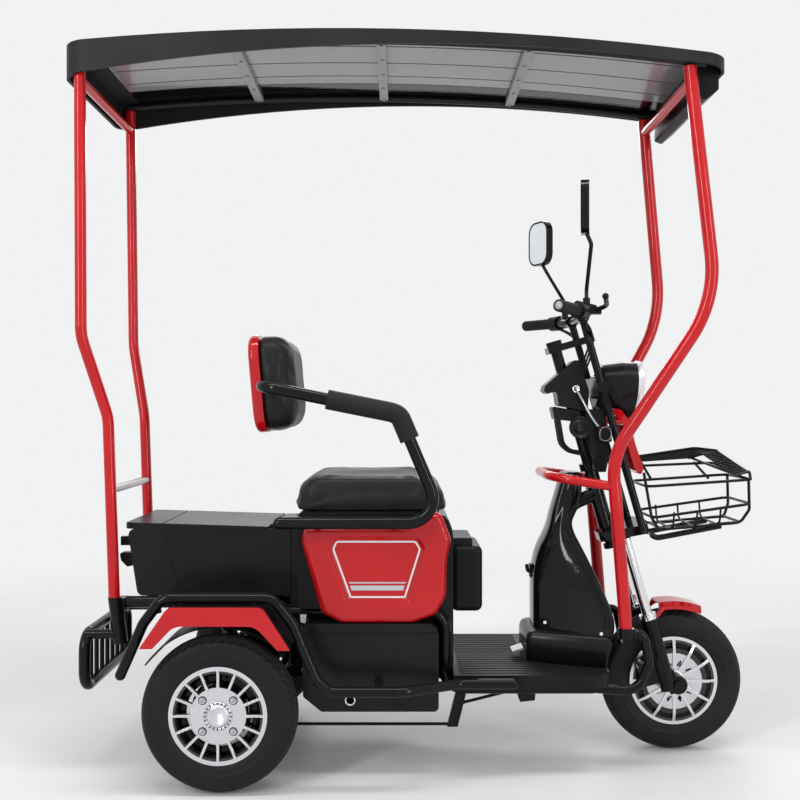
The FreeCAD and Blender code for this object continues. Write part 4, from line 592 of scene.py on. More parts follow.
TYRE_INSIDE = [(0.026, 0.120), (0.0, 0.121), (-0.026, 0.120)]


def tyre_groove(y, turn):
    """Depth of the tread's grooves at a place across the tyre, for a share of the way round it."""
    depth = 0.0
    for place in (-GROOVE_AT, GROOVE_AT):
        depth = max(depth, GROOVE_DEPTH * max(0.0, 1 - abs(y - place) / GROOVE_HALF))
    across = abs(y)
    if across > SHOULDER_FROM:
        slant = (across - SHOULDER_FROM) / 0.022
        phase = (turn * BLOCKS + slant * 0.9 + (0.5 if y > 0 else 0.0)) % 1.0
        if phase < 0.24:
            fade = min(1.0, (across - SHOULDER_FROM) / 0.002)
            fade *= max(0.0, min(1.0, (SHOULDER_TO - across) / 0.004))
            depth = max(depth, SHOULDER_DEPTH * fade)
    elif across < CUT_TO:
        phase = (turn * BLOCKS + y / 0.02) % 1.0
        if phase < 0.12:
            depth = max(depth, CUT_DEPTH * max(0.0, 1 - across / CUT_TO))
    return depth


def tyre(name, centre, body, node, material):
    """Tyre with a carved tread, shoulder blocks, rings on its walls and a bead that sits on the rim."""
    tread = []
    for i in range(TREAD_LINES + 1):
        y = -TREAD_EDGE + 2 * TREAD_EDGE * i / TREAD_LINES
        tread.append((y, TYRE_RADIUS - TREAD_FALL * abs(y / TREAD_EDGE) ** 2.3))
    profile = TYRE_WALL + tread + [(-y, r) for y, r in TYRE_WALL[::-1]] + TYRE_INSIDE
    points = []
    for i in range(TYRE_STEPS):
        turn = i / TYRE_STEPS
        carved = [(y, r - tyre_groove(y, turn) if r > TREAD_FROM else r) for y, r in profile]
        points += turned_ring(centre, carved, 2 * math.pi * turn)
    o = mesh_piece(name, points, band(TYRE_STEPS, len(profile), True), material, body, True)
    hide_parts(node)


tyre("tyre_front", FRONT_AXLE, "front_wheel", "front_tyre", TYRE_FINISH["front"])
for side, centre in REAR_CENTRES.items():
    tyre("tyre_rear_" + side, centre, "rear_wheel_" + side, "rear_tyre_" + side, TYRE_FINISH[side])


# Cushions
def rounded_ring(half_x, half_y, corner, steps=8):
    """Points round a rectangle with rounded corners."""
    out = []
    for cx, cy, start in ((1, 1, 0), (-1, 1, 90), (-1, -1, 180), (1, -1, 270)):
        for i in range(steps + 1):
            a = math.radians(start + 90 * i / steps)
            out.append((cx * (half_x - corner) + corner * math.cos(a),
                        cy * (half_y - corner) + corner * math.sin(a)))
    return out


def apply(o, name, kind, **settings):
    """Adds a modifier to the active object and makes it part of its mesh."""
    made = o.modifiers.new(name, kind)
    for key, value in settings.items():
        setattr(made, key, value)
    bpy.ops.object.modifier_apply(modifier=name)


def inflate(o, cap, voxel, pinned, soften=6):
    """Remeshes a shape, swells it as padded cloth, and keeps each point within cap of where it began."""
    bpy.ops.object.select_all(action="DESELECT")
    bpy.context.view_layer.objects.active = o
    o.select_set(True)
    apply(o, "remesh", "REMESH", mode="VOXEL", voxel_size=voxel)
    start = [v.co.copy() for v in o.data.vertices]
    group = o.vertex_groups.new(name="held")
    group.add([v.index for v in o.data.vertices if pinned(v.co)], 1.0, "REPLACE")
    cloth = o.modifiers.new("cloth", "CLOTH")
    settings = cloth.settings
    settings.use_pressure = True
    settings.uniform_pressure_force = 4.0
    settings.tension_stiffness = 15
    settings.compression_stiffness = 15
    settings.bending_stiffness = 0.5
    settings.effector_weights.gravity = 0
    settings.vertex_group_mass = "held"
    for step in range(1, 21):
        scene.frame_set(step)
    shaped = bpy.data.meshes.new_from_object(o.evaluated_get(bpy.context.evaluated_depsgraph_get()))
    moved = [v.co.copy() for v in shaped.vertices]
    bpy.data.meshes.remove(shaped)
    o.modifiers.remove(cloth)
    for v, a, b in zip(o.data.vertices, start, moved):
        shift = b - a
        if shift.length > cap:
            shift = shift.normalized() * cap
        v.co = a + shift
    scene.frame_set(1)
    apply(o, "soften", "SMOOTH", factor=0.5, iterations=soften)
    apply(o, "finer", "SUBSURF", levels=1, render_levels=1)
    o.data.polygons.foreach_set("use_smooth", [True] * len(o.data.polygons))


PAD_LOW, PAD_HIGH = 0.6495, 0.7330
PAD_REAR, PAD_FRONT, PAD_HALF = -0.3060, 0.0700, 0.1935
# Height above the pad's foot or below its top, inset and corner radius
PAD_FOOT = ((0.0, 0.006, 0.036), (0.004, 0.001, 0.040), (0.030, 0.0, 0.042))
PAD_SHOULDER = ((0.034, 0.0, 0.046), (0.020, 0.002, 0.050), (0.010, 0.006, 0.054), (0.003, 0.014, 0.058),
                (0.0, 0.028, 0.058))


def seat_pad():
    """Deep moulded seat: flat top with a rounded shoulder, upright walls, and a nose that slopes down."""
    middle, half_x = (PAD_REAR + PAD_FRONT) / 2, (PAD_FRONT - PAD_REAR) / 2
    levels = [(PAD_LOW + up, inset, corner) for up, inset, corner in PAD_FOOT]
    levels += [(PAD_HIGH - down, inset, corner) for down, inset, corner in PAD_SHOULDER]
    rings = []
    for z, inset, corner in levels:
        ring = []
        lift = (z - PAD_LOW) / (PAD_HIGH - PAD_LOW)
        for x, y in rounded_ring(half_x - inset, PAD_HALF - inset, corner):
            x = middle + x
            ahead = max(0.0, (x + 0.02) / 0.088)
            behind = max(0.0, (-0.26 - x) / 0.043)
            x += (0.006 * behind - 0.018 * ahead) * lift ** 3
            drop = 0.018 * max(0.0, ahead - 0.2) * lift + 0.010 * behind * lift ** 3
            ring.append((x, y, z - drop))
        rings.append(ring)
    o = loft("seat_pad", rings, VINYL)
    inflate(o, 0.004, 0.005, lambda p: p.z < PAD_LOW + 0.008, 3)
    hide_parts("seat_cushion")


BACK_LEAN = math.radians(-5)
BACK_PIVOT = Vector((-0.384, 0, 0.957))
BACK_LOW, BACK_HIGH, BACK_HALF = 0.846, 1.088, 0.151
# Place along, inset and corner radius, from the back to the front
BACK_LEVELS = ((-0.3945, 0.004, 0.055), (-0.388, 0.0, 0.058), (-0.345, 0.0, 0.058), (-0.332, 0.006, 0.056),
               (-0.322, 0.018, 0.05), (-0.318, 0.034, 0.045))


def lean(p):
    """A place on the upright backrest, leaned with it."""
    d = Vector(p) - BACK_PIVOT
    return Vector((BACK_PIVOT.x + d.x * math.cos(BACK_LEAN) + d.z * math.sin(BACK_LEAN), d.y,
                   BACK_PIVOT.z - d.x * math.sin(BACK_LEAN) + d.z * math.cos(BACK_LEAN)))


def back_pad():
    """Flat backrest pad with a rounded front edge."""
    middle, half_z = (BACK_LOW + BACK_HIGH) / 2, (BACK_HIGH - BACK_LOW) / 2
    rings = []
    for x, inset, corner in BACK_LEVELS:
        ring = rounded_ring(half_z - inset, BACK_HALF - inset, corner)
        rings.append([lean((x, y, middle + z)) for z, y in ring])
    o = loft("back_pad", rings, VINYL)
    inflate(o, 0.006, 0.006, lambda p: p.x < -0.385)
    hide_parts("backrest_cushion")


seat_pad()
back_pad()

# Armrest sleeves, on the tube that runs from the backrest over a knee to a corner beside the seat
ARM_Y = 0.262
ARM_BACK = BACK_PIVOT
ARM_KNEE = Vector((-0.050, 0, 0.890))
ARM_CORNER = Vector((0.062, 0, 0.627))
SLEEVE_REAR_X = -0.222
SLEEVE_DROP = 0.062
SLEEVE_BEND, SLEEVE_RADIUS = 0.046, 0.0240


def arm_sleeve(side):
    """Foam along the top of the tube and a little way down past its knee."""
    y = ARM_Y * SIDES[side]
    slope = (ARM_BACK.z - ARM_KNEE.z) / (ARM_BACK.x - ARM_KNEE.x)
    ahead = (ARM_CORNER.x - ARM_KNEE.x) / (ARM_CORNER.z - ARM_KNEE.z)
    rear = (SLEEVE_REAR_X, y, ARM_KNEE.z + slope * (SLEEVE_REAR_X - ARM_KNEE.x))
    knee = (ARM_KNEE.x, y, ARM_KNEE.z)
    front = (ARM_KNEE.x - ahead * SLEEVE_DROP, y, ARM_KNEE.z - SLEEVE_DROP)
    run = bent([rear, knee, front], SLEEVE_BEND)
    return wires("arm_sleeve_" + side, [run], SLEEVE_RADIUS, FOAM, "chassis", 10, 16)


sleeves = [arm_sleeve(side) for side in SIDES]
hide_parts("armrest_pads")


# Wheels: spokes, bolts, caps, and dark plates behind the spokes that stand for the dark, shaded space inside
# the wheels (painted shade)
def spoke_ring(count, centre, out, stations):
    """Bars that run outwards like a wheel's spokes. A station is (radius, half width, low, high)."""
    parts = []
    for i in range(count):
        angle = 2 * math.pi * i / count
        along = Vector((math.sin(angle), 0, math.cos(angle)))
        side = Vector((math.cos(angle), 0, -math.sin(angle)))
        rings = []
        for radius, half, low, high in stations:
            rings.append([centre + along * radius + side * half * sign + Vector((0, across * out, 0))
                          for sign, across in ((-1, low), (1, low), (1, high), (-1, high))])
        parts.append(bar(rings))
    return parts


def bolt_places(centre, count, radius, across, start):
    """Places evenly round an axis, from a share of one step on."""
    angles = [2 * math.pi * (i + start) / count for i in range(count)]
    return [centre + Vector((radius * math.cos(a), across, radius * math.sin(a))) for a in angles]


REAR_SPOKE = [(0.0640, 0.0036, 0.0318, 0.0346), (0.0800, 0.0029, 0.0328, 0.0350),
              (0.0960, 0.0027, 0.0328, 0.0356), (0.1062, 0.0030, 0.0348, 0.0360)]
REAR_CAP = [(0.0315, 0.0335), (0.0352, 0.0335), (0.0366, 0.0322), (0.0372, 0.0300), (0.0366, 0.0282),
            (0.0352, 0.0276), (0.0352, 0.0262), (0.0385, 0.0250), (0.0402, 0.0226), (0.0408, 0.0200),
            (0.0400, 0.0190), (0.0402, 0.0), (0.0315, 0.0)]
REAR_NOTCH = [(0.0284, 0.0014, 0.0350, 0.0374), (0.0326, 0.0016, 0.0340, 0.0372)]
BOLT_RING = [(0.0316, 0.0076), (0.0328, 0.0078), (0.0330, 0.0098), (0.0318, 0.0104)]
BOLT_CIRCLE, BOLT_ACROSS = 0.051, 0.0368
# Painted shade: a black ring plate behind the spokes that stands for the dark, shaded space seen through the
# wheel
REAR_SHADE_PLATE = [(0.004, 0.079), (0.004, 0.0993), (0.011, 0.0993), (0.014, 0.090), (0.014, 0.079)]
VALVE = [(0.020, 0.0), (0.020, 0.0032), (0.034, 0.0026), (0.0375, 0.0020), (0.0375, 0.0)]
VALVE_RADIUS, VALVE_ANGLE = 0.087, 0.2


def rear_wheel(side, centre):
    """Sixteen spokes, a notched cap, four bolts in dark rings, a dark plate behind the spokes as painted
    shade, and a valve.
    """
    body, out = "rear_wheel_" + side, SIDES[side]
    merged("rear_spokes_" + side, spoke_ring(16, centre, out, REAR_SPOKE), ALLOY_BRIGHT, body,
           edge=0.0007)
    merged("rear_cap_" + side, [lathe(REAR_CAP, centre, out)], ALLOY_BRIGHT, body, True)
    merged("rear_cap_notches_" + side, spoke_ring(20, centre, out, REAR_NOTCH), BLACK_PAINT, body)
    heads = [hexagon(p, 0.0052, out, 0.0034)
             for p in bolt_places(centre, 4, BOLT_CIRCLE, BOLT_ACROSS * out, 0.5)]
    merged("rear_bolts_" + side, heads, STEEL, body, edge=0.0006)
    rings = [lathe(BOLT_RING, p, out, 24) for p in bolt_places(centre, 4, BOLT_CIRCLE, 0, 0.5)]
    merged("rear_bolt_seats_" + side, rings, BLACK_PAINT, body, True)
    # Painted shade: the black plate fills the see-through gaps between the spokes
    merged("rear_shade_plate_" + side, [lathe(REAR_SHADE_PLATE, centre, out)], BLACK_PAINT, body)
    valve = turned_ring(centre, [(0, VALVE_RADIUS)], VALVE_ANGLE)[0]
    merged("rear_valve_" + side, [lathe(VALVE, valve, out, 16)], RUBBER, body, True)


FRONT_SPOKE = {"right": [(0.0270, 0.0062, 0.0408, 0.0432), (0.0550, 0.0046, 0.0408, 0.0432),
                         (0.0870, 0.0038, 0.0406, 0.0428), (0.1000, 0.0036, 0.0345, 0.0385),
                         (0.1078, 0.0040, 0.0345, 0.0362)],
               "left": [(0.0230, 0.0060, 0.0280, 0.0345), (0.0600, 0.0048, 0.0285, 0.0335),
                        (0.0960, 0.0040, 0.0300, 0.0345), (0.1078, 0.0044, 0.0345, 0.0362)]}
FRONT_NAVE = [(0.0404, 0.0145), (0.0404, 0.0300), (0.0432, 0.0290), (0.0446, 0.0262), (0.0448, 0.0145)]
# Painted shade: a black dish behind the spokes that stands for the dark, shaded space inside the front wheel
FRONT_SHADE_DISH = [(-0.030, 0.050), (-0.030, 0.0995), (-0.024, 0.0995), (-0.024, 0.050)]


def front_wheel():
    """Twelve spokes on each side, a bolted nave on the right, and a dark dish behind the spokes as painted
    shade.
    """
    body = "front_wheel"
    for side, stations in FRONT_SPOKE.items():
        spokes = spoke_ring(12, FRONT_AXLE, SIDES[side], stations)
        merged("front_spokes_" + side, spokes, ALLOY_BRIGHT, body, edge=0.0007)
    merged("front_nave", [lathe(FRONT_NAVE, FRONT_AXLE, -1)], ALLOY_BRIGHT, body, True)
    heads = [hexagon(p, 0.0030, -1, 0.0016) for p in bolt_places(FRONT_AXLE, 5, 0.0215, -0.0447, 0.25)]
    merged("front_nave_bolts", heads, STEEL, body)
    # Painted shade: the black dish darkens the gaps between the spokes
    merged("front_shade_dish", [lathe(FRONT_SHADE_DISH, FRONT_AXLE, 1)], BLACK_PAINT, body)


for side, centre in REAR_CENTRES.items():
    rear_wheel(side, centre)
front_wheel()

# Side panels: one rounded skin each, with a sunk field, a white outline and two plain stripes
PANEL_OUTLINE = [(-0.282, 0.612), (-0.290, 0.578), (-0.240, 0.400), (-0.192, 0.3755), (-0.016, 0.3755),
                 (0.042, 0.396), (0.066, 0.440), (0.068, 0.528), (0.079, 0.580), (0.054, 0.6462),
                 (0.016, 0.6462), (-0.030, 0.612)]
PANEL_FIELD = [(-0.206, 0.581), (-0.006, 0.581), (0.008, 0.558), (-0.031, 0.434), (-0.172, 0.434),
               (-0.217, 0.558)]
PANEL_MIDDLE = (-0.105, 0.500)
PANEL_STEPS = 240
PANEL_FACE, PANEL_BACK = 0.2203, 0.1886
PANEL_EDGE, PANEL_FALL = 0.013, 0.015
FIELD_DEPTH = 0.0095
# Low, high, rear and front of each stripe
STRIPES = ((0.4560, 0.4680, -0.1660, -0.0390), (0.4730, 0.4765, -0.1715, -0.0335))
STRIPE_SLANT = 0.31


def round_plan(outline, soften=3):
    """The outline seen from its middle, as evenly turned points with softened corners."""
    mx, mz = PANEL_MIDDLE
    turns = [2 * math.pi * i / PANEL_STEPS for i in range(PANEL_STEPS)]
    reach = []
    for angle in turns:
        dx, dz = math.cos(angle), math.sin(angle)
        best = 0.0
        for (ax, az), (bx, bz) in zip(outline, outline[1:] + outline[:1]):
            ex, ez = bx - ax, bz - az
            det = dz * ex - dx * ez
            if abs(det) < 1e-12:
                continue
            t = ((az - mz) * ex - (ax - mx) * ez) / det
            u = (dx * (az - mz) - dz * (ax - mx)) / det
            if t > 0 and -1e-9 <= u <= 1 + 1e-9:
                best = max(best, t)
        reach.append(best)
    for _ in range(soften):
        reach = [0.25 * reach[i - 1] + 0.5 * reach[i] + 0.25 * reach[(i + 1) % PANEL_STEPS]
                 for i in range(PANEL_STEPS)]
    return [(mx + r * math.cos(a), mz + r * math.sin(a)) for r, a in zip(reach, turns)]


def drawn_in(ring, distance):
    """The ring moved inwards, square to itself."""
    out = []
    for i, (x, z) in enumerate(ring):
        ax, az = ring[i - 1]
        bx, bz = ring[(i + 1) % len(ring)]
        length = math.hypot(bx - ax, bz - az)
        out.append((x - (bz - az) / length * distance, z + (bx - ax) / length * distance))
    return out


def ring_between(a, b, t):
    return [(ax + (bx - ax) * t, az + (bz - az) * t) for (ax, az), (bx, bz) in zip(a, b)]


def panel_levels(edge, field):
    """Rings of the skin from its back to the middle of the field, each with its place across."""
    levels = [(edge, PANEL_BACK), (edge, PANEL_FACE - PANEL_FALL)]
    for depth in (0.0015, 0.004, 0.008, PANEL_EDGE):
        levels.append((drawn_in(edge, depth), PANEL_FACE - PANEL_FALL * (1 - depth / PANEL_EDGE) ** 2))
    inner, rim = drawn_in(edge, PANEL_EDGE), drawn_in(field, -0.009)
    for t, sink in ((0.35, 0.0004), (0.7, 0.0002), (1.0, 0.0)):
        levels.append((ring_between(inner, rim, t), PANEL_FACE - sink))
    for away, sink in ((-0.008, 0.0010), (-0.003, 0.0048), (0.001, 0.0085), (0.0032, 0.0092),
                       (0.005, FIELD_DEPTH)):
        levels.append((drawn_in(field, away), PANEL_FACE - sink))
    floor, middle = drawn_in(field, 0.005), [PANEL_MIDDLE] * PANEL_STEPS
    for t in (0.3, 0.65, 0.96):
        levels.append((ring_between(floor, middle, t), PANEL_FACE - FIELD_DEPTH + 0.0012 * t))
    return levels


def side_panel(side):
    out = SIDES[side]
    field = round_plan(PANEL_FIELD)
    levels = panel_levels(round_plan(PANEL_OUTLINE), field)
    rings = [[(x, y * out, z) for x, z in ring] for ring, y in levels]
    o = loft("side_skin_" + side, rings, RED_GLOSS)
    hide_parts("side_panel_" + side)
    top, low = (PANEL_FACE - 0.0086) * out, (PANEL_FACE - 0.0100) * out
    points = []
    for (ax, az), (bx, bz) in zip(drawn_in(field, 0.0035), drawn_in(field, 0.0078)):
        points += [Vector(p) for p in ((ax, top, az), (bx, top, bz), (bx, low, bz), (ax, low, az))]
    merged("side_line_" + side, [(points, band(PANEL_STEPS, 4, True))], WHITE_LINE)
    bars = []
    for low_z, high_z, rear, front in STRIPES:
        wider = STRIPE_SLANT * (high_z - low_z)
        corners = [(rear, low_z), (front, low_z), (front + wider, high_z), (rear - wider, high_z)]
        bars.append(slab(corners, (PANEL_FACE - 0.0078) * out, low))
    merged("side_stripes_" + side, bars, SILVER_LINE)


for side in SIDES:
    side_panel(side)

# Roof: lining in long strips with dark grooves between them, under an arc through three points; its far
# strips carry painted shade
ROOF_LINE = ((-0.868, 1.790), (-0.047, 1.820), (0.752, 1.757))
# Painted shade: the two strips on the far side are dark to stand for the shade over that side of the grey
# lining
LINING = {"roof_lining_grey": (ROOF_LINING, ((-0.2140, -0.1705), (-0.1640, -0.0530), (-0.0470, 0.0490),
                                             (0.0550, 0.1120))),
          "roof_lining_painted_shade": (GLOSS_PLASTIC, ((0.1150, 0.1650), (0.1690, 0.2140)))}
LINING_REAR, LINING_LENGTH, LINING_STEPS = -0.800, 1.485, 40
LINING_UNDER, LINING_OVER = 0.0138, 0.0123
RIB_PLACES = (-0.454, -0.093, 0.270)
RIB_UNDER = 0.0283
SCREW_PLACES = (-0.212, -0.110, 0.0, 0.110, 0.212)
SCREW_RADIUS, SCREW_HEIGHT, SCREW_SINK = 0.0045, 0.0022, 0.0004


def arc_centre(line):
    (ax, az), (bx, bz), (cx, cz) = line
    d = 2 * (ax * (bz - cz) + bx * (cz - az) + cx * (az - bz))
    a2, b2, c2 = ax * ax + az * az, bx * bx + bz * bz, cx * cx + cz * cz
    x = (a2 * (bz - cz) + b2 * (cz - az) + c2 * (az - bz)) / d
    z = (a2 * (cx - bx) + b2 * (ax - cx) + c2 * (bx - ax)) / d
    return x, z, math.hypot(ax - x, az - z)


ROOF_ARC = arc_centre(ROOF_LINE)


def roof_at(x, depth):
    """Height of a line a given depth under the top of the roof."""
    cx, cz, radius = ROOF_ARC
    return cz + math.sqrt((radius - depth) ** 2 - (x - cx) ** 2)


def roof_lining():
    places = [LINING_REAR + LINING_LENGTH * i / LINING_STEPS for i in range(LINING_STEPS + 1)]
    lines = [(x, roof_at(x, LINING_UNDER), roof_at(x, LINING_OVER)) for x in places]
    for name, (material, strips) in LINING.items():
        parts = [bar([[(x, y0, low), (x, y1, low), (x, y1, high), (x, y0, high)] for x, low, high in lines])
                 for y0, y1 in strips]
        merged(name, parts, material)
    screws = []
    corners = [math.radians(60 * k) for k in range(6)]
    for x in RIB_PLACES:
        z = roof_at(x, RIB_UNDER) - SCREW_SINK
        for y in SCREW_PLACES:
            screws.append(bar([[(x + SCREW_RADIUS * math.cos(a), y + SCREW_RADIUS * math.sin(a), level)
                                for a in corners] for level in (z, z - SCREW_HEIGHT)]))
    merged("roof_screws", screws, ZINC)


roof_lining()

# Leg shield: one glossy skin over the source's form, with its raised border lines and bag hook.
# Each table gives a place or a half width by height.
SHIELD_REAR = [(0.328, 0.303), (0.470, 0.303), (0.530, 0.316), (0.584, 0.345), (0.612, 0.350), (0.640, 0.357),
               (0.690, 0.372), (0.735, 0.384)]
SHIELD_FRONT = [(0.2495, 0.474), (0.352, 0.498), (0.397, 0.487), (0.475, 0.454), (0.592, 0.401),
                (0.618, 0.405), (0.642, 0.429), (0.690, 0.434), (0.735, 0.432)]
SHIELD_NEAR = [(0.320, 0.038), (0.460, 0.038), (0.530, 0.030), (0.584, 0.026), (0.612, 0.030), (0.645, 0.040),
               (0.745, 0.038)]
SHIELD_FAR = [(0.320, 0.160), (0.460, 0.164), (0.530, 0.150), (0.584, 0.110), (0.612, 0.080), (0.645, 0.046),
              (0.745, 0.044)]
SHIELD_LOW, SHIELD_TOP, SHIELD_LEVELS = 0.322, 0.735, 90
SHIELD_NEAR_X, SHIELD_DEPTH = 0.283, 0.223
SHIELD_FULLNESS = 0.0045
SHIELD_ROUND = 0.010
FOOT_LEVELS = ((0.2496, 0.0), (0.306, 0.0), (0.316, 0.002), (0.323, 0.007), (0.327, 0.016))
HOOK = [(0.3060, 0, 0.470), (0.300, 0, 0.466), (0.2935, 0, 0.470), (0.2920, 0, 0.479), (0.2915, 0, 0.486)]
LINE_FOOT, LINE_TOP = 0.345, 0.600


def value_at(table, at):
    """Straight interpolation in a table of (place, value) pairs."""
    if at <= table[0][0]:
        return table[0][1]
    for (a, va), (b, vb) in zip(table, table[1:]):
        if at <= b:
            return va + (vb - va) * (at - a) / (b - a)
    return table[-1][1]


def eased(table, at, reach=0.022):
    """The table's value averaged over a reach on both sides, so that its corners are soft."""
    return sum(value_at(table, at + reach * k / 4) for k in range(-4, 5)) / 9


def shield_half(x, z, grow=0.0):
    """Half the shield's width, which grows forward."""
    near, far = eased(SHIELD_NEAR, z), eased(SHIELD_FAR, z)
    return near + (far - near) * (x - SHIELD_NEAR_X) / SHIELD_DEPTH + grow


def shield_ring(rear, front, half_at, z, corner):
    """Level ring round a wedge that widens forward, with soft corners and slightly full sides."""
    anchors = [Vector(p) for p in ((rear, -half_at(rear)), (front, -half_at(front)),
                                   (front, half_at(front)), (rear, half_at(rear)))]
    ring = []
    for i in range(4):
        a, b, c = anchors[i - 1], anchors[i], anchors[(i + 1) % 4]
        reach = min(corner, 0.45 * (a - b).length, 0.45 * (c - b).length)
        start, end = b + (a - b).normalized() * reach, b + (c - b).normalized() * reach
        for k in range(7):
            t = k / 6
            ring.append(start * (1 - t) ** 2 + b * 2 * t * (1 - t) + end * t * t)
        stop = c + (b - c).normalized() * min(corner, 0.45 * (c - b).length)
        normal = Vector(((c - b).y, -(c - b).x)).normalized()
        fullness = SHIELD_FULLNESS * (1 if i in (0, 2) else 0.3)
        for k in range(1, 6):
            t = k / 6
            ring.append(end.lerp(stop, t) + normal * fullness * math.sin(math.pi * t))
    return [(x, y, z) for x, y in ring]


def shield_skin():
    rings = []
    for i in range(SHIELD_LEVELS + 1):
        z = SHIELD_LOW + (SHIELD_TOP - SHIELD_LOW) * i / SHIELD_LEVELS
        close = min(1.0, (SHIELD_TOP - z) / SHIELD_ROUND)
        tuck = SHIELD_ROUND * (1 - math.sqrt(max(0.0, 1 - (1 - close) ** 2)))
        rear, front = eased(SHIELD_REAR, z) + tuck, eased(SHIELD_FRONT, z) - tuck
        rings.append(shield_ring(rear, front, lambda x: shield_half(x, z, -tuck), z, 0.017))
    o = loft("shield_skin", rings, GLOSS_PLASTIC)
    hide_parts("leg_shield")


def shield_foot():
    rings = []
    for z, tuck in FOOT_LEVELS:
        front = value_at(SHIELD_FRONT, z) - tuck
        rings.append(shield_ring(0.2800 + tuck, front,
                                 lambda x: 0.084 + 0.084 * (x - 0.278) / 0.228 - tuck, z, 0.014))
    loft("shield_foot", rings, SATIN_PLASTIC)


def shield_lines():
    """Two raised lines on each side, up along the front edge, round the top and down again."""
    runs = []
    for sign in SIDES.values():
        for inset in (0.013, 0.024):
            run = []
            for i in range(25):
                z = LINE_FOOT + (LINE_TOP - inset - LINE_FOOT) * i / 24
                x = eased(SHIELD_FRONT, z) - inset
                run.append((x, sign * (shield_half(x, z) + 0.0022), z))
            x, top = run[-1][0] - 0.012, run[-1][2]
            run.append((x, sign * (shield_half(x, top + 0.008) + 0.002), top + 0.008))
            for i in range(1, 10):
                z = top + 0.006 - 0.011 * i
                x = eased(SHIELD_REAR, z) + inset + 0.004
                run.append((x, sign * (shield_half(x, z) + 0.0018), z))
            runs.append(run)
    wires("shield_lines", runs, 0.0021, GLOSS_PLASTIC, sides=4, bends=4)


def shield_fittings():
    """Bag hook with its plate, and a screw low on each side and edge."""
    wires("shield_hook", [bent(HOOK, 0.006)], 0.0048, BLACK_PLASTIC, sides=6, bends=8)
    plate = block(0.2985, 0.3045, -0.014, 0.014, 0.452, 0.488)
    merged("shield_hook_plate", [plate], BLACK_PLASTIC, edge=0.002)
    screws = [hexagon(Vector((x, sign * (shield_half(x, z) + 0.0010), z)), 0.0050, sign, 0.0028)
              for sign in SIDES.values() for x, z in ((0.462, 0.332), (0.330, 0.345))]
    merged("shield_screws", screws, CHROME, edge=0.0006)


shield_skin()
shield_foot()
shield_lines()
shield_fittings()


# Tool box and inner arches
def tool_box():
    """Rounded box on the front of the pedestal, with a smaller cap on it."""
    body = block(0.0853, 0.1660, -0.096, 0.096, 0.3785, 0.5480)
    o = merged("tool_box", [body], BLACK_PLASTIC, smooth=True, edge=0.017, steps=6)
    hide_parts("front_tool_box")
    cap = block(0.0853, 0.1410, -0.084, 0.084, 0.5440, 0.5675)
    merged("tool_box_cap", [cap], BLACK_PLASTIC, smooth=True, edge=0.007, steps=4)
    seams = [[(0.1010, 0.0966 * sign, z) for z in (0.3860, 0.5400)] for sign in SIDES.values()]
    wires("tool_box_seam", seams, 0.0016, GLOSS_PLASTIC, sides=3, bends=2)
    clips = [block(0.1100, 0.1220, 0.0835 * sign - 0.0015, 0.0835 * sign + 0.0015, 0.5400, 0.5600)
             for sign in SIDES.values()]
    merged("tool_box_clips", clips, BLACK_PLASTIC, edge=0.0008)


# Across from the vehicle's middle, and radius about the rear axle
ARCH = [(0.168, 0.2055), (0.330, 0.2055), (0.3335, 0.2085), (0.168, 0.2085)]
ARCH_REAR, ARCH_SPAN, ARCH_STEPS = -55, 103, 48
STUDS = ((-0.553, 0.4290), (-0.395, 0.4290))


def arch_liners():
    """Black inner arches over the rear wheels, below the red trim, and the studs of the trim."""
    angles = [math.radians(ARCH_REAR + ARCH_SPAN * i / ARCH_STEPS) for i in range(ARCH_STEPS + 1)]
    for side, out in SIDES.items():
        arch = bar([turned_ring(REAR_AXLE, ARCH, angle, out) for angle in angles])
        merged("arch_liner_" + side, [arch], BLACK_PLASTIC)
        studs = [hexagon(Vector((x, 0.3450 * out, z)), 0.0042, out, 0.0022) for x, z in STUDS]
        merged("trim_studs_" + side, studs, RED_PAINT, edge=0.0006)


tool_box()
arch_liners()

# Column: lock, horn, relay box, tapered side plates and cables, and the caps on the ends of the grips
LOCK = [(0.0, 0.0), (0.0, 0.0105), (0.0050, 0.0105), (0.0062, 0.0090), (0.0062, 0.0060), (0.0050, 0.0058),
        (0.0050, 0.0)]
HORN = [(0.0, 0.0), (0.0, 0.020), (0.004, 0.028), (0.010, 0.030), (0.014, 0.0295), (0.0145, 0.0265),
        (0.0125, 0.0245), (0.0135, 0.016), (0.0165, 0.0125), (0.0165, 0.0)]
GRIP_END = [(0.0, 0.0), (0.0, 0.0105), (0.0020, 0.0098), (0.0030, 0.0080), (0.0030, 0.0)]
COLUMN_PLATE = [(0.4360, 0.8980), (0.4900, 0.9000), (0.4920, 0.8400), (0.4990, 0.7800), (0.4900, 0.7360),
                (0.4620, 0.7360), (0.4480, 0.8100)]
LOCK_LEAD = [(0.4200, -0.0400, 0.9460), (0.4300, -0.0560, 0.9250), (0.4440, -0.0680, 0.8930),
             (0.4560, -0.0740, 0.8700), (0.4680, -0.0800, 0.8540)]


def turned_across(name, place, profile, out, material, tilt=0.0):
    """A turned form whose axis runs across, tilted about the upright by an angle in degrees."""
    points, faces = lathe(profile, Vector((0, 0, 0)), out, 40)
    turn = Matrix.Rotation(math.radians(tilt), 3, "Z")
    merged(name, [([turn @ p + Vector(place) for p in points], faces)], material, "steering", True)


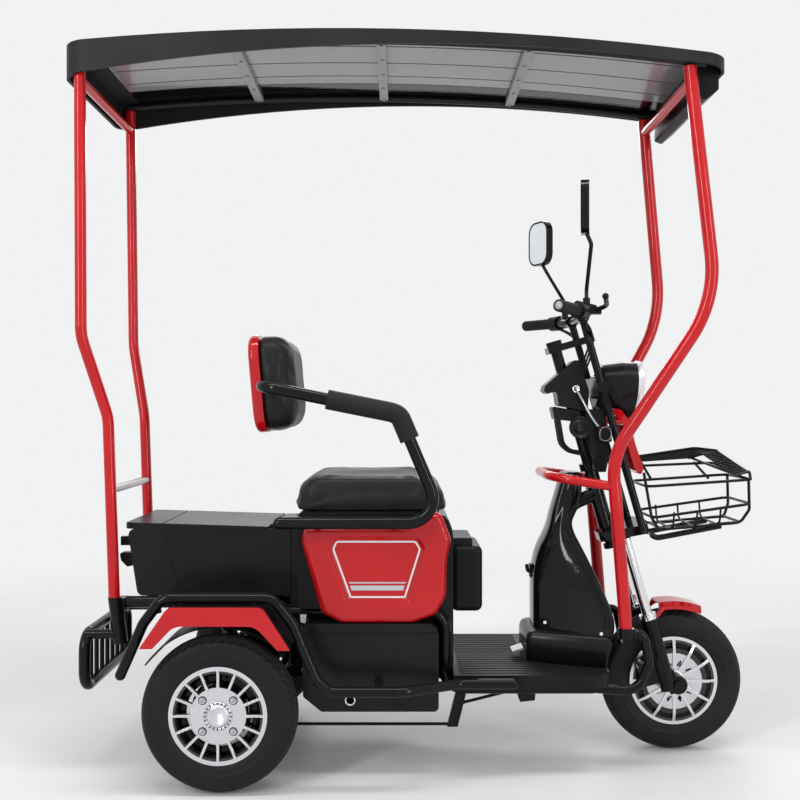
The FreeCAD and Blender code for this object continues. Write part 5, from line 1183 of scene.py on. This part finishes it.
def column_parts():
    turned_across("key_lock", (0.4170, -0.0343, 0.9530), LOCK, -1, CHROME)
    slot = block(0.4163, 0.4177, -0.0400, -0.0385, 0.9495, 0.9565)
    merged("key_slot", [slot], BLACK_PLASTIC, "steering")
    turned_across("horn", (0.4320, -0.0300, 0.8520), HORN, -1, SATIN_PLASTIC, -24)
    relay = block(0.4640, 0.4985, -0.098, -0.070, 0.8160, 0.8570)
    merged("relay_box", [relay], SATIN_PLASTIC, "steering", edge=0.003)
    x0, x1, z0, z1 = 0.4665, 0.4960, 0.8190, 0.8540
    edge = [(x, -0.0986, z) for x, z in ((x0, z0), (x1, z0), (x1, z1), (x0, z1))]
    wires("relay_edge", [edge], 0.0010, STEEL, "steering", 3, 6, True)
    plates = [slab(COLUMN_PLATE, 0.060 * sign, 0.063 * sign) for sign in SIDES.values()]
    merged("column_plates", plates, SATIN_PLASTIC, "steering", edge=0.001)


def control_cables():
    """Three cables from the right grip and two from the left, into the top of the column."""
    runs = []
    for k in range(3):
        y = -0.150 + 0.012 * k
        runs.append([(0.404, y - 0.03, 1.128), (0.440 + 0.006 * k, y + 0.030, 1.112),
                     (0.462 - 0.008 * k, -0.050, 1.060), (0.438 - 0.006 * k, -0.030, 0.990),
                     (0.420, -0.026, 0.940)])
    for k in range(2):
        y = 0.150 - 0.012 * k
        runs.append([(0.404, y + 0.03, 1.128), (0.436 + 0.008 * k, y - 0.030, 1.108),
                     (0.456 - 0.008 * k, 0.048, 1.050), (0.436, 0.030, 0.985), (0.420, 0.026, 0.940)])
    wires("control_cables", runs, 0.0027, RUBBER, "steering", sides=4, bends=10)
    wires("lock_lead", [LOCK_LEAD], 0.0040, STEEL, "steering", 4, 10)


column_parts()
control_cables()
for side, out in SIDES.items():
    turned_across("grip_end_" + side, (0.3276, 0.3042 * out, 1.1460), GRIP_END, out, GREY_METAL,
                  31 * out)

# Ring round the charging socket, and a small silver plate
SOCKET_PLACE = Vector((-0.169, -0.2201, 0.189))
SOCKET_RING = [(0.0, 0.0096), (0.0, 0.0135), (0.0022, 0.0130), (0.0028, 0.0112), (0.0022, 0.0096)]
SMALL_PLATE = [(-0.292, 0.398), (-0.276, 0.398), (-0.279, 0.376), (-0.291, 0.379)]


def bright_trim():
    merged("port_ring", [lathe(SOCKET_RING, SOCKET_PLACE, -1, 40)], CHROME, smooth=True)
    merged("case_plate", [slab(SMALL_PLATE, -0.2150, -0.2170)], SILVER_LINE, edge=0.0008)


bright_trim()

# Flange and pedestal under the cushion
PEDESTAL_OUTLINE = [(0.0512, 0.2162), (0.0885, 0.2162), (0.0885, 0.5700), (0.0860, 0.5950), (0.0790, 0.6150),
                    (0.0680, 0.6290), (0.0512, 0.6350)]


def rear_panels():
    """Flange between cargo box and seat base, and the pedestal with a rounded shoulder."""
    flange = block(-0.3225, -0.3005, -0.1465, 0.1465, 0.3850, 0.5975)
    merged("box_flange", [flange], SATIN_PLASTIC, edge=0.003)
    body = slab(PEDESTAL_OUTLINE, -0.1338, 0.1338)
    pedestal = merged("pedestal", [body], SATIN_PLASTIC, smooth=True, edge=0.004, steps=3)
    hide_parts("seat_pedestal")


rear_panels()

# Basket: flat band along the front of its raised side
HEM_OUTER = [(0.803, 0.212, 0.787), (0.8555, 0.172, 0.781), (0.857, -0.078, 0.738)]
HEM_INNER = [(0.779, 0.190, 0.758), (0.812, 0.174, 0.774), (0.822, -0.078, 0.728)]
HEM_THICK = 0.0028
HEM_PARTS = 12


def basket_hem():
    rings = [[(ax, ay, az), (bx, by, bz), (bx, by, bz - HEM_THICK), (ax, ay, az - HEM_THICK)]
             for (ax, ay, az), (bx, by, bz) in zip(HEM_OUTER, HEM_INNER)]
    merged("basket_hem", [bar(rings)], RUBBER, "steering")
    above = Vector((0, 0, 0.0008))
    ribs = [[Vector(edge[1]).lerp(Vector(edge[2]), k / HEM_PARTS) + above for edge in (HEM_OUTER, HEM_INNER)]
            for k in range(1, HEM_PARTS)]
    wires("basket_hem_ribs", ribs, 0.0016, RUBBER, "steering", sides=3, bends=2)


basket_hem()
